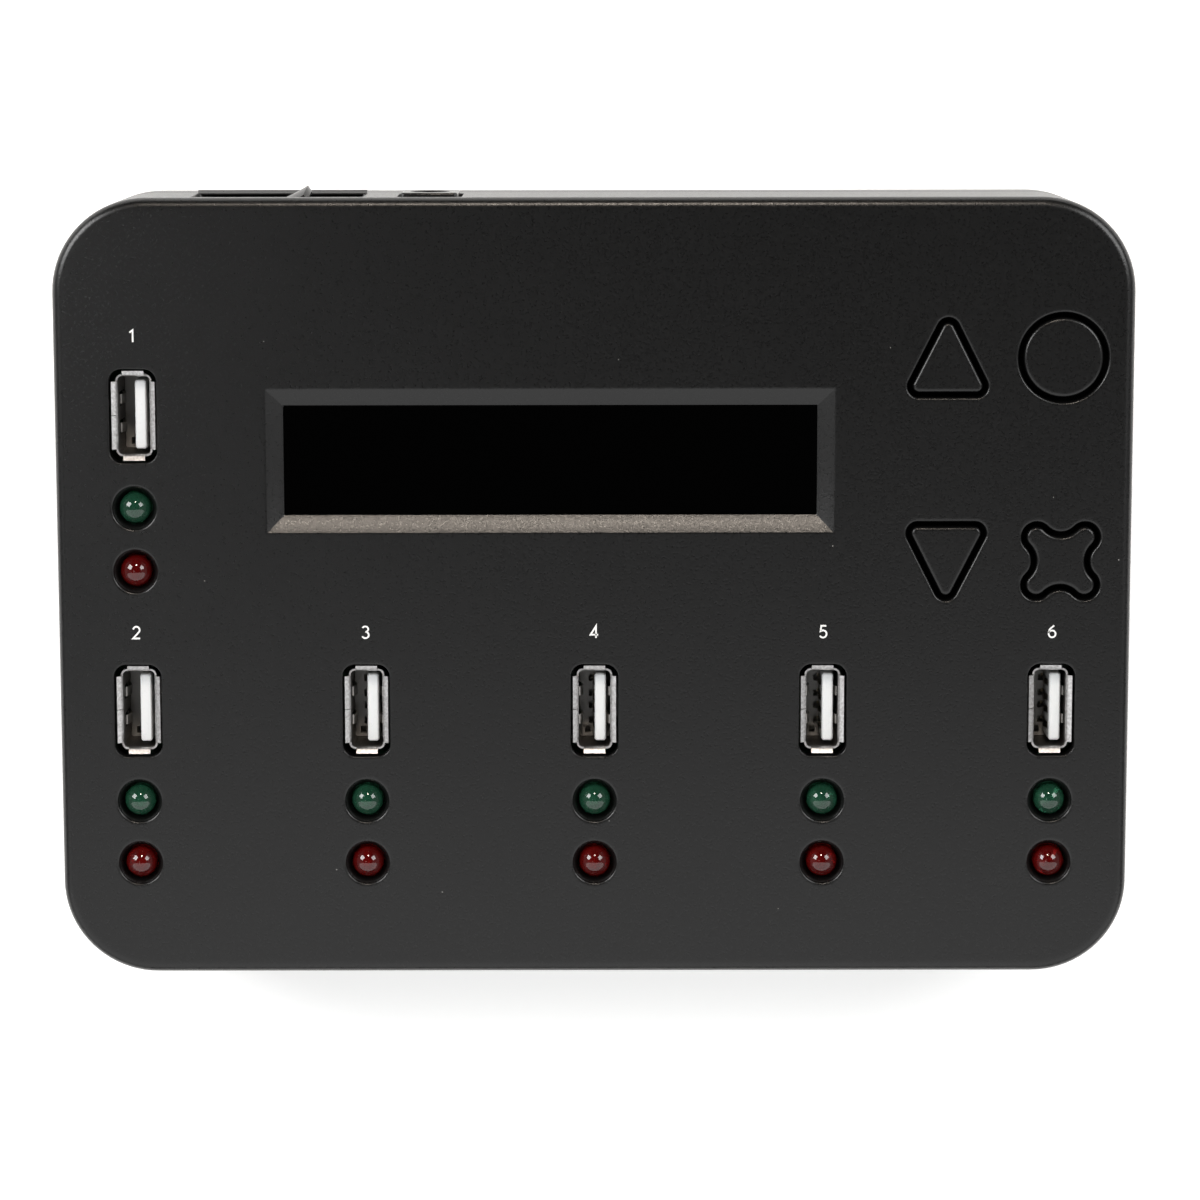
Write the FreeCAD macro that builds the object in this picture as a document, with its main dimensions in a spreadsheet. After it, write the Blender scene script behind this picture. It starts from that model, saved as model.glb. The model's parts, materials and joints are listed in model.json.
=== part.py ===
import FreeCAD, Part
import math
import os
import re
import Sketcher

# Standalone duplicator for thumb drives, lying on its four rubber feet.
# Millimetres. +Z is up through the control panel, +Y is the rear wall with the power switch
# and the supply jack, +X is the side with the four keys. The origin lies on the table under
# the middle of the case.

doc = FreeCAD.newDocument("duplicator")
sheet = doc.addObject("Spreadsheet::Sheet", "Sizes")

# Each size is a row: alias, value, what it measures.
SIZES = [
    ("caseWidth", 171.5, "case, side to side"),
    ("caseDepth", 125, "case, front to rear"),
    ("caseHeight", 28, "case, underside to control panel"),
    ("cornerRadius", 15, "upright corners of the case"),
    ("edgeRound", 2.2, "rounded edge round the control panel"),
    ("baseRound", 1.2, "rounded edge round the underside"),
    ("wall", 2.4, "side walls"),
    ("skin", 2.5, "control panel thickness"),
    ("floorSkin", 2.2, "underside thickness"),
    ("splitHeight", 8, "parting line above the underside"),
    ("revealHeight", 0.4, "shadow gap at the parting line"),
    ("revealDepth", 0.5, "depth of the shadow gap"),
    ("lipHeight", 1.5, "tongue of the lower shell inside the upper one"),
    ("lipGap", 0.1, "play round that tongue"),
    ("footRadius", 5, "rubber foot"),
    ("footProud", 2, "foot below the underside"),
    ("footSeat", 0.6, "foot sunk in the underside"),
    ("footChamfer", 0.5, "sloped edge of a foot"),
    ("footInsetSide", 20, "foot centre from the side"),
    ("footInsetEnd", 17, "foot centre from the front or rear"),
    ("screwInsetSide", 8.25, "case screw from the side"),
    ("screwInsetEnd", 8, "case screw from the front or rear"),
    ("postRadius", 3.4, "screw post of the case"),
    ("screwRadius", 1.45, "case screw thread"),
    ("screwFit", 0.05, "play round a screw in its pilot hole"),
    ("screwHeadRadius", 2.8, "case screw head"),
    ("screwHeadThick", 1.8, "case screw head"),
    ("screwHeadSink", 2.6, "depth of the screw's counterbore"),
    ("screwLength", 16, "case screw below its head"),
    ("socketWidth", 0.6, "cross recess in a screw head"),
    ("socketDepth", 0.9, "cross recess in a screw head"),
    ("socketMargin", 0.6, "cross recess inside the head's rim"),
    ("portPitch", 36.6, "between the target ports"),
    ("targetRow", -19.45, "middle of the row of target ports"),
    ("sourceRow", 28, "middle of the source port"),
    ("portHoleWidth", 7.6, "panel hole of a port"),
    ("portHoleLength", 15, "panel hole of a port"),
    ("portHoleCorner", 2, "corner of that hole"),
    ("greenDrop", 14.7, "green lamp in front of its port"),
    ("lampStep", 10.15, "red lamp in front of the green one"),
    ("usbHeight", 14, "upright receptacle above the board"),
    ("usbMouthDrop", 0.9, "receptacle's lips below the panel"),
    ("usbWidth", 5.12, "inside of the metal shell"),
    ("usbLength", 12.5, "inside of the metal shell"),
    ("usbSheet", 0.3, "sheet of the metal shell"),
    ("usbCorner", 0.7, "corner of the metal shell"),
    ("flareHeight", 0.9, "height of the turned-out lips"),
    ("flareOut", 0.72, "reach of the turned-out lips"),
    ("sideLip", 11.4, "long lips"),
    ("endLip", 3.9, "short lips"),
    ("legWidth", 1.6, "solder leg of the metal shell"),
    ("legReach", 2.8, "solder leg below the board's top"),
    ("tongueThick", 1.84, "contact tongue"),
    ("tongueWidth", 11.1, "contact tongue"),
    ("tongueShift", 0.93, "contact tongue off the port's middle"),
    ("tongueSetback", 2.4, "contact tongue behind the lips"),
    ("insulatorBase", 3.5, "plastic base of a receptacle"),
    ("insulatorGap", 0.25, "plastic base clear of the metal shell"),
    ("contactWidth", 1.0, "spring contact"),
    ("contactThick", 0.25, "spring contact"),
    ("contactInner", 1.0, "inner contacts from the middle"),
    ("contactOuter", 3.5, "outer contacts from the middle"),
    ("contactShort", 0.9, "contact ends behind the tongue's tip"),
    ("tailReach", 2.6, "pins below the board's top"),
    ("pinFit", 0.15, "play round a pin in its hole"),
    ("leadHole", 0.5, "radius of a lamp lead's hole"),
    ("headerHole", 0.6, "radius of a board pin's hole"),
    ("boardThick", 1.6, "main circuit board"),
    ("boardGap", 1.5, "main board inside the side walls"),
    ("boardRearGap", 1.0, "main board in front of the switch pocket"),
    ("boardCorner", 12, "cut corners of the main board"),
    ("postClearance", 0.6, "main board clear of the case posts"),
    ("boardPostRadius", 2.6, "posts that carry the main board"),
    ("boardScrewRadius", 1.2, "board screw thread"),
    ("boardScrewLength", 7, "board screw below its head"),
    ("boardHeadRadius", 2.3, "board screw head"),
    ("boardHeadThick", 1.5, "board screw head"),
    ("frontPostSide", 55, "front board posts from the middle"),
    ("frontPostInset", 10.5, "front board posts from the case's front"),
    ("middlePostSide", 27.5, "middle board posts from the middle"),
    ("middlePostRow", -5, "middle board posts"),
    ("rearPostLeft", -70, "left rear board post"),
    ("rearPostRight", 66, "right rear board post"),
    ("rearPostInset", 13.5, "rear board posts from the case's rear"),
    ("lampRadius", 2.5, "lamp body"),
    ("lampFlange", 2.9, "lamp's foot ring"),
    ("lampFlangeThick", 1.0, "lamp's foot ring"),
    ("lampHeight", 6.2, "lamp below its dome"),
    ("domeDrop", 1.7, "start of the dome below the panel"),
    ("lampGap", 0.15, "play round a lamp in the panel"),
    ("dishRadius", 3.65, "dished hole of a lamp at the panel"),
    ("leadSize", 0.5, "square lamp lead"),
    ("leadPitch", 2.54, "between a lamp's leads"),
    ("spacerBore", 1.9, "inside of a lamp spacer"),
    ("keyColumnLeft", 56.1, "column of the arrow keys"),
    ("keyColumnRight", 74.4, "column of the round and cross keys"),
    ("keyRowRear", 37.15, "rear row of keys"),
    ("keyRowFront", 4.63, "front row of keys"),
    ("keyWidth", 11.1, "arrow key, across"),
    ("keyLength", 11.0, "arrow key, along"),
    ("keyCorner", 1.0, "corners of an arrow key"),
    ("roundKeyRadius", 6.3, "round key"),
    ("crossSpan", 10.9, "cross key, across"),
    ("crossLobe", 1.6, "rounded arms of the cross key"),
    ("crossScoop", 3.76, "hollow sides of the cross key"),
    ("keyGap", 0.95, "groove round a key"),
    ("keyFlange", 0.5, "key's rim under the panel"),
    ("keyFlangeThick", 1.2, "key's rim under the panel"),
    ("keyRun", 0.2, "key's rim below the panel's underside"),
    ("keyRound", 0.35, "rounded top edge of a key"),
    ("stemRadius", 2.2, "stem under a key"),
    ("tactSize", 6.0, "push switch body"),
    ("tactBody", 3.5, "push switch body height"),
    ("tactHeight", 5.0, "push switch with its plunger"),
    ("tactPlunger", 1.75, "push switch plunger"),
    ("tactBore", 1.9, "push switch bore"),
    ("tactBoreDepth", 1.6, "push switch bore"),
    ("tactPlungerSink", 1.0, "plunger inside the bore"),
    ("windowMiddleSide", -6.97, "display from the middle"),
    ("windowMiddleRow", 20.77, "display from the middle"),
    ("windowWidth", 85, "display window"),
    ("windowHeight", 17.6, "display window"),
    ("bevelWidth", 2.66, "sloped border of the window"),
    ("bevelDepth", 1.7, "depth of that border"),
    ("paneDrop", 0.1, "pane below the foot of the border"),
    ("paneGap", 0.15, "pane clear of its opening"),
    ("paneFlange", 2, "pane's rim under the panel"),
    ("paneFlangeThick", 1.4, "pane's rim under the panel"),
    ("lcdPostLength", 9, "display posts under the panel"),
    ("lcdPostRadius", 1.9, "display posts"),
    ("lcdBoardWidth", 116, "display board"),
    ("lcdBoardDepth", 37, "display board"),
    ("lcdBoardThick", 1.6, "display board"),
    ("lcdHoleInset", 2.8, "display screws from the board's edges"),
    ("lcdScrewRadius", 1.1, "display screw"),
    ("lcdScrewLength", 6, "display screw"),
    ("lcdHeadRadius", 2.1, "display screw head"),
    ("lcdHeadThick", 1.1, "display screw head"),
    ("lcdFrameWidth", 98.5, "metal frame of the display"),
    ("lcdFrameDepth", 26, "metal frame of the display"),
    ("lcdFrameSheet", 0.5, "metal frame of the display"),
    ("lcdOpeningMargin", 0.8, "metal frame's opening round the window"),
    ("lightGuideThick", 4.4, "light guide of the display"),
    ("lcdGlassThick", 2.2, "glass cell of the display"),
    ("lcdInnerGap", 0.2, "glass inside the metal frame"),
    ("headerPitch", 2.54, "pins between the two boards"),
    ("headerPin", 0.64, "pins between the two boards"),
    ("headerFromLeft", 28, "pin row's middle from the display board's left"),
    ("headerInset", 2.5, "pin row from the display board's rear"),
    ("headerTop", 0.8, "pins above the display board"),
    ("switchMiddle", -50.25, "power switch from the middle"),
    ("switchDrop", 9.5, "power switch below the panel"),
    ("recessWidth", 27.3, "finger recess at the rear wall"),
    ("recessTall", 13, "finger recess at the rear wall"),
    ("recessDepth", 3, "finger recess"),
    ("recessTaper", 2, "slope of the recess's ends"),
    ("recessFloor", 2, "wall behind the recess"),
    ("ledgeProud", 0.5, "thumb ledge under the recess"),
    ("ledgeTall", 1.4, "thumb ledge under the recess"),
    ("bezelLength", 16, "power switch frame"),
    ("bezelTall", 11.5, "power switch frame"),
    ("bezelThick", 1.8, "power switch frame"),
    ("rockerHalf", 5.7, "rocker, middle to end"),
    ("rockerTall", 7.6, "rocker, top to bottom"),
    ("rockerValley", 3.5, "rocker's hollow above its pivot"),
    ("rockerRise", 0.7, "rocker's ends above its hollow"),
    ("rockerFootHalf", 4.9, "rocker at its foot, middle to end"),
    ("rockerFootRise", 0.2, "rocker's foot above its pivot"),
    ("rockerKeelHalf", 2.8, "flat under the rocker, middle to end"),
    ("rockerKeelDrop", 1.6, "flat under the rocker below its pivot"),
    ("rockerSwing", 24, "rocker from stop to stop, degrees"),
    ("rockerEndGap", 0.9, "rocker's ends clear of the frame"),
    ("rockerSideGap", 0.3, "rocker's sides clear of the frame"),
    ("pivotInset", 3.72, "rocker's pivot in front of the rear wall"),
    ("pivotRadius", 0.9, "rocker's pivot pins"),
    ("pivotFit", 0.05, "play round a pivot pin"),
    ("pivotReach", 0.4, "pivot pins beyond the opening"),
    ("switchWallLong", 0.6, "switch body at the rocker's ends"),
    ("switchWallTall", 0.7, "switch body above the rocker"),
    ("switchDepth", 12.5, "switch body behind the recess"),
    ("switchWell", 2.6, "hollow under the rocker's pivot"),
    ("cutFit", 0.15, "switch body clear of its hole"),
    ("bladeWidth", 2, "switch terminal"),
    ("bladeThick", 0.8, "switch terminal"),
    ("bladeReach", 2.6, "switch terminal behind the body"),
    ("bladeSpread", 3.5, "switch terminals from the middle"),
    ("jackMiddle", -26.1, "supply jack from the middle"),
    ("jackWidth", 9, "supply jack"),
    ("jackTall", 11, "supply jack"),
    ("jackDepth", 14.2, "supply jack"),
    ("jackProud", 0.6, "supply jack outside the rear wall"),
    ("jackAxis", 6, "barrel's axis above the board"),
    ("jackRound", 1.2, "upper edges of the jack"),
    ("jackGap", 0.6, "jack clear of the rear wall"),
    ("barrelRadius", 3.15, "barrel of the jack"),
    ("barrelDepth", 9.5, "barrel of the jack"),
    ("jackPinRadius", 1.05, "centre pin of the jack"),
    ("jackPinSetback", 1.2, "centre pin behind the jack's face"),
    ("capacitorRadius", 3.15, "smoothing capacitor"),
    ("capacitorHeight", 7, "smoothing capacitor"),
    ("capacitorRow", -6.4, "row of capacitors"),
    ("capacitorColumn", 54.9, "outer pairs of capacitors from the middle"),
    ("capacitorSpread", 9.2, "capacitors beside a column"),
    ("chipSize", 14, "controller chip"),
    ("chipThick", 1.4, "controller chip"),
    ("hubSize", 9, "hub chips"),
    ("hubSpread", 42, "hub chips from the controller"),
    ("chipRow", 14, "row of chips under the board"),
    ("crystalLength", 11, "timing crystal"),
    ("crystalWidth", 4.6, "timing crystal"),
    ("crystalTall", 3.5, "timing crystal"),
    ("crystalCorner", 2.2, "round ends of the crystal"),
    ("crystalFromChip", 14, "timing crystal from the controller"),
    ("over", 1, "how far a cutting shape runs past what it cuts"),
]

for row, (alias, number, note) in enumerate(SIZES, start=1):
    sheet.set(f"A{row}", note)
    sheet.set(f"B{row}", str(number))
    sheet.setAlias(f"B{row}", alias)
doc.recompute()
ALIASES = {alias for alias, number, note in SIZES}


# Writing sizes as text, such as "caseWidth / 2 - wall"
def full(text):
    return re.sub(
        r"[A-Za-z]+", lambda word: "Sizes." + word[0] if word[0] in ALIASES else word[0], str(text)
    )


def value(text):
    return float(sheet.evalExpression(full(text)))


def bind(item, **sizes):
    for name, text in sizes.items():
        item.setExpression(name, full(text))


def place(item, x=0, y=0, z=0, turn=None):
    for axis, text in zip("xyz", (x, y, z)):
        item.setExpression("Placement.Base." + axis, full(text))
    if turn:
        item.Placement = FreeCAD.Placement(item.Placement.Base, FreeCAD.Rotation(*turn))
    return item


# Heights and depths that several pieces share
UNDERSIDE = "footProud"
PANEL = "(footProud + caseHeight)"
CEILING = "(footProud + caseHeight - skin)"
SPLIT = "(footProud + splitHeight)"
LIP_TOP = "(footProud + splitHeight + lipHeight)"
REAR = "(caseDepth / 2)"
BOARD_TOP = "(footProud + caseHeight - usbMouthDrop - usbHeight)"
BOARD_LOW = "(footProud + caseHeight - usbMouthDrop - usbHeight - boardThick)"
BOARD_REAR = "(caseDepth / 2 - recessDepth - recessFloor - boardRearGap)"
BOARD_FRONT = "(wall + boardGap - caseDepth / 2)"
LCD_TOP = "(footProud + caseHeight - skin - lcdPostLength)"
SWITCH_LEVEL = "(footProud + caseHeight - switchDrop)"
RECESS_FACE = "(caseDepth / 2 - recessDepth)"
PIVOT = "(caseDepth / 2 - pivotInset)"
TACT_TOP = "(footProud + caseHeight - usbMouthDrop - usbHeight + tactHeight)"

# Ports count from the source, which stands behind the first target.
PORTS = [("(-2 * portPitch)", "sourceRow")]
PORTS += [(f"({column} * portPitch)", "targetRow") for column in range(-2, 3)]
GREEN_LAMPS = [(x, f"({row} - greenDrop)") for x, row in PORTS]
RED_LAMPS = [(x, f"({row} - greenDrop - lampStep)") for x, row in PORTS]
CASE_SCREWS = [
    (f"{side} * (caseWidth / 2 - screwInsetSide)", f"{end} * (caseDepth / 2 - screwInsetEnd)")
    for side in (-1, 1)
    for end in (-1, 1)
]
FEET = [
    (f"{side} * (caseWidth / 2 - footInsetSide)", f"{end} * (caseDepth / 2 - footInsetEnd)")
    for side in (-1, 1)
    for end in (-1, 1)
]
BOARD_SCREWS = [
    ("-frontPostSide", "frontPostInset - caseDepth / 2"),
    ("frontPostSide", "frontPostInset - caseDepth / 2"),
    ("-middlePostSide", "middlePostRow"),
    ("middlePostSide", "middlePostRow"),
    ("rearPostLeft", "caseDepth / 2 - rearPostInset"),
    ("rearPostRight", "caseDepth / 2 - rearPostInset"),
]
LCD_SCREWS = [
    (
        f"windowMiddleSide + {side} * (lcdBoardWidth / 2 - lcdHoleInset)",
        f"windowMiddleRow + {end} * (lcdBoardDepth / 2 - lcdHoleInset)",
    )
    for side in (-1, 1)
    for end in (-1, 1)
]
HEADER_PINS = [
    (
        f"windowMiddleSide - lcdBoardWidth / 2 + headerFromLeft + {index - 7.5} * headerPitch",
        "windowMiddleRow + lcdBoardDepth / 2 - headerInset",
    )
    for index in range(16)
]
CONTACTS = ["-contactOuter", "-contactInner", "contactInner", "contactOuter"]
KEYS = {
    "up": ("keyColumnLeft", "keyRowRear"),
    "ok": ("keyColumnRight", "keyRowRear"),
    "down": ("keyColumnLeft", "keyRowFront"),
    "cancel": ("keyColumnRight", "keyRowFront"),
}


# Basic shapes
def box(name, length, width, height, x=0, y=0, z=0):
    # Centred on x and y, standing on z.
    item = doc.addObject("Part::Box", name)
    bind(item, Length=length, Width=width, Height=height)
    return place(item, f"{x} - ({length}) / 2", f"{y} - ({width}) / 2", z)


def rod(name, radius, height, x=0, y=0, z=0):
    item = doc.addObject("Part::Cylinder", name)
    bind(item, Radius=radius, Height=height)
    return place(item, x, y, z)


def cone(name, low_radius, high_radius, height, x, y, z):
    item = doc.addObject("Part::Cone", name)
    bind(item, Radius1=low_radius, Radius2=high_radius, Height=height)
    return place(item, x, y, z)


def group(name, items):
    item = doc.addObject("Part::Compound", name)
    item.Links = items
    return item


def fuse(name, items):
    item = doc.addObject("Part::MultiFuse", name)
    item.Shapes = items
    item.Refine = True
    return item


def cut(name, base, tool):
    item = doc.addObject("Part::Cut", name)
    item.Base = base
    item.Tool = tool
    item.Refine = True
    return item


# Sketches
def sketch_in(body, name, role="XY_Plane", level=0):
    sketch = body.newObject("Sketcher::SketchObject", name)
    plane = next(item for item in body.Origin.OriginFeatures if item.Role == role)
    sketch.AttachmentSupport = [(plane, "")]
    sketch.MapMode = "FlatFace"
    sketch.setExpression("AttachmentOffset.Base.z", full(level))
    return sketch


def measure(sketch, kind, text, *ends):
    name = f"{kind.lower()}{sketch.ConstraintCount}"
    sketch.addConstraint(Sketcher.Constraint(kind, *ends, value(text)))
    sketch.renameConstraint(sketch.ConstraintCount - 1, name)
    sketch.setExpression("Constraints." + name, full(text))


def fix_point(sketch, shape, end, x, y):
    measure(sketch, "DistanceX", x, -1, 1, shape, end)
    measure(sketch, "DistanceY", y, -1, 1, shape, end)


def arc_of(x, y, radius, start, stop):
    ring = Part.Circle(FreeCAD.Vector(x, y, 0), FreeCAD.Vector(0, 0, 1), radius)
    return Part.ArcOfCircle(ring, start, stop)


def circle_in(sketch, radius, x=0, y=0):
    ring = Part.Circle(FreeCAD.Vector(value(x), value(y), 0), FreeCAD.Vector(0, 0, 1), value(radius))
    shape = sketch.addGeometry(ring)
    fix_point(sketch, shape, 3, x, y)
    measure(sketch, "Radius", radius, shape)


def outline_in(sketch, points, arcs=None):
    # A closed outline through the points. arcs gives the radius of a side that is an arc,
    # which bulges out of the outline.
    arcs = arcs or {}
    spots = [FreeCAD.Vector(value(x), value(y), 0) for x, y in points]
    shapes = []
    for side, start in enumerate(spots):
        stop = spots[(side + 1) % len(spots)]
        if side not in arcs:
            shapes.append(sketch.addGeometry(Part.LineSegment(start, stop)))
            continue
        radius = value(arcs[side])
        chord = stop - start
        inward = FreeCAD.Vector(-chord.y, chord.x, 0).normalize()
        reach = math.sqrt(max(radius**2 - (chord.Length / 2) ** 2, 0))
        middle = (start + stop) * 0.5 + inward * reach
        angles = [math.atan2(spot.y - middle.y, spot.x - middle.x) for spot in (start, stop)]
        shapes.append(sketch.addGeometry(arc_of(middle.x, middle.y, radius, *angles)))
        measure(sketch, "Radius", arcs[side], shapes[-1])
    for side, shape in enumerate(shapes):
        sketch.addConstraint(
            Sketcher.Constraint("Coincident", shape, 2, shapes[(side + 1) % len(shapes)], 1)
        )
        fix_point(sketch, shape, 1, *points[side])


def rounded_in(sketch, centres, radius):
    # A convex outline at one distance round a chain of centres, anticlockwise.
    spots = [FreeCAD.Vector(value(x), value(y), 0) for x, y in centres]
    reach = value(radius)
    count = len(spots)
    outward = []
    for side in range(count):
        run = spots[(side + 1) % count] - spots[side]
        outward.append(FreeCAD.Vector(run.y, -run.x, 0).normalize())
    lines = []
    rounds = []
    for side in range(count):
        start = spots[side] + outward[side] * reach
        stop = spots[(side + 1) % count] + outward[side] * reach
        lines.append(sketch.addGeometry(Part.LineSegment(start, stop)))
    for corner in range(count):
        angles = [math.atan2(way.y, way.x) for way in (outward[corner - 1], outward[corner])]
        rounds.append(sketch.addGeometry(arc_of(spots[corner].x, spots[corner].y, reach, *angles)))
    for corner in range(count):
        fix_point(sketch, rounds[corner], 3, *centres[corner])
        measure(sketch, "Radius", radius, rounds[corner])
        sketch.addConstraint(Sketcher.Constraint("Tangent", lines[corner - 1], 2, rounds[corner], 1))
        sketch.addConstraint(Sketcher.Constraint("Tangent", rounds[corner], 2, lines[corner], 1))


def rounded_box_in(sketch, width, length, corner):
    side = f"(({width}) / 2 - ({corner}))"
    end = f"(({length}) / 2 - ({corner}))"
    centres = [(f"-{side}", f"-{end}"), (side, f"-{end}"), (side, end), (f"-{side}", end)]
    rounded_in(sketch, centres, corner)


def cross_in(sketch, grow):
    # Four round arms joined by four hollow sides, all arcs.
    arm = "(crossSpan / 2 - crossLobe)"
    lobe = f"(crossLobe + {grow})"
    scoop = f"(crossScoop - {grow})"
    side = value(arm)
    reach = side + math.sqrt((value(lobe) + value(scoop)) ** 2 - side**2)
    lobes = []
    hollows = []
    for quarter in range(4):
        turn = quarter * math.pi / 2
        swing = math.atan2(-side, reach - side)
        spot = FreeCAD.Vector(side * math.sqrt(2), 0, 0)
        spot = FreeCAD.Rotation(FreeCAD.Vector(0, 0, 1), 45 + 90 * quarter).multVec(spot)
        angles = (turn + swing, turn + math.pi / 2 - swing)
        lobes.append(sketch.addGeometry(arc_of(spot.x, spot.y, value(lobe), *angles)))
        centre = FreeCAD.Rotation(FreeCAD.Vector(0, 0, 1), 90 * quarter + 90).multVec(
            FreeCAD.Vector(reach, 0, 0)
        )
        lean = math.atan2(side, reach - side)
        angles = (turn + 1.5 * math.pi - lean, turn + 1.5 * math.pi + lean)
        hollows.append(sketch.addGeometry(arc_of(centre.x, centre.y, value(scoop), *angles)))
    signs = [(1, 1), (-1, 1), (-1, -1), (1, -1)]
    for quarter in range(4):
        fix_point(sketch, lobes[quarter], 3, f"{signs[quarter][0]} * {arm}", f"{signs[quarter][1]} * {arm}")
        measure(sketch, "Radius", lobe, lobes[quarter])
        measure(sketch, "Radius", scoop, hollows[quarter])
        following = lobes[(quarter + 1) % 4]
        sketch.addConstraint(Sketcher.Constraint("Tangent", lobes[quarter], 2, hollows[quarter], 2))
        sketch.addConstraint(Sketcher.Constraint("Tangent", hollows[quarter], 1, following, 1))


def key_outline_in(sketch, key, grow):
    if key == "ok":
        circle_in(sketch, f"roundKeyRadius + {grow}")
    elif key == "cancel":
        cross_in(sketch, grow)
    else:
        side = "(keyWidth / 2 - keyCorner)"
        end = "(keyLength / 2 - keyCorner)"
        sign = 1 if key == "up" else -1
        centres = [
            (f"{-sign} * {side}", f"{-sign} * {end}"),
            (f"{sign} * {side}", f"{-sign} * {end}"),
            ("0", f"{sign} * {end}"),
        ]
        rounded_in(sketch, centres, f"keyCorner + {grow}")


# Solid features of a body
def pad_of(body, sketch, length, symmetric=False):
    pad = body.newObject("PartDesign::Pad", sketch.Name + "_pad")
    pad.Profile = sketch
    pad.setExpression("Length", full(length))
    if symmetric:
        pad.SideType = "Symmetric"
    return pad


def pocket_of(body, sketch, length):
    # Cuts along the sketch's normal, away from the usual side.
    pocket = body.newObject("PartDesign::Pocket", sketch.Name + "_pocket")
    pocket.Profile = sketch
    pocket.Reversed = True
    pocket.setExpression("Length", full(length))
    return pocket


def revolve_of(body, sketch):
    turned = body.newObject("PartDesign::Revolution", sketch.Name + "_turned")
    turned.Profile = sketch
    turned.ReferenceAxis = (sketch, ["V_Axis"])
    turned.Angle = 360
    return turned


def fillet_at(body, feature, level, radius):
    # Rounds the edges that lie flat at one height.
    doc.recompute()
    names = []
    for index, edge in enumerate(feature.Shape.Edges, start=1):
        bounds = edge.BoundBox
        if abs(bounds.ZMin - value(level)) < 1e-4 and abs(bounds.ZMax - value(level)) < 1e-4:
            names.append(f"Edge{index}")
    fillet = body.newObject("PartDesign::Fillet", feature.Name + "_round")
    fillet.Base = (feature, names)
    fillet.setExpression("Radius", full(radius))
    return fillet


def new_body(name):
    return doc.addObject("PartDesign::Body", name)


def prism(name, width, length, corner, height, x=0, y=0, z=0):
    body = new_body(name)
    sketch = sketch_in(body, name + "_outline")
    rounded_box_in(sketch, width, length, corner)
    pad_of(body, sketch, height)
    return place(body, x, y, z)


def case_outline_in(sketch, inset):
    width = f"(caseWidth - 2 * ({inset}))"
    length = f"(caseDepth - 2 * ({inset}))"
    rounded_box_in(sketch, width, length, f"(cornerRadius - ({inset}))")


# Upper shell: panel, side walls, posts, openings
def rear_pocket(name, width, tall, taper, front, depth):
    # A block whose ends slope outwards towards the rear.
    item = doc.addObject("Part::Wedge", name)
    half = f"(({width}) / 2)"
    rise = f"(({tall}) / 2)"
    bind(item, Ymin=0, Ymax=depth)
    bind(item, Xmin=f"-{half} + {taper}", Xmax=f"{half} - {taper}", Zmin=f"-{rise}", Zmax=rise)
    bind(item, X2min=f"-{half}", X2max=half, Z2min=f"-{rise}", Z2max=rise)
    return place(item, "switchMiddle", front, SWITCH_LEVEL)


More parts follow.
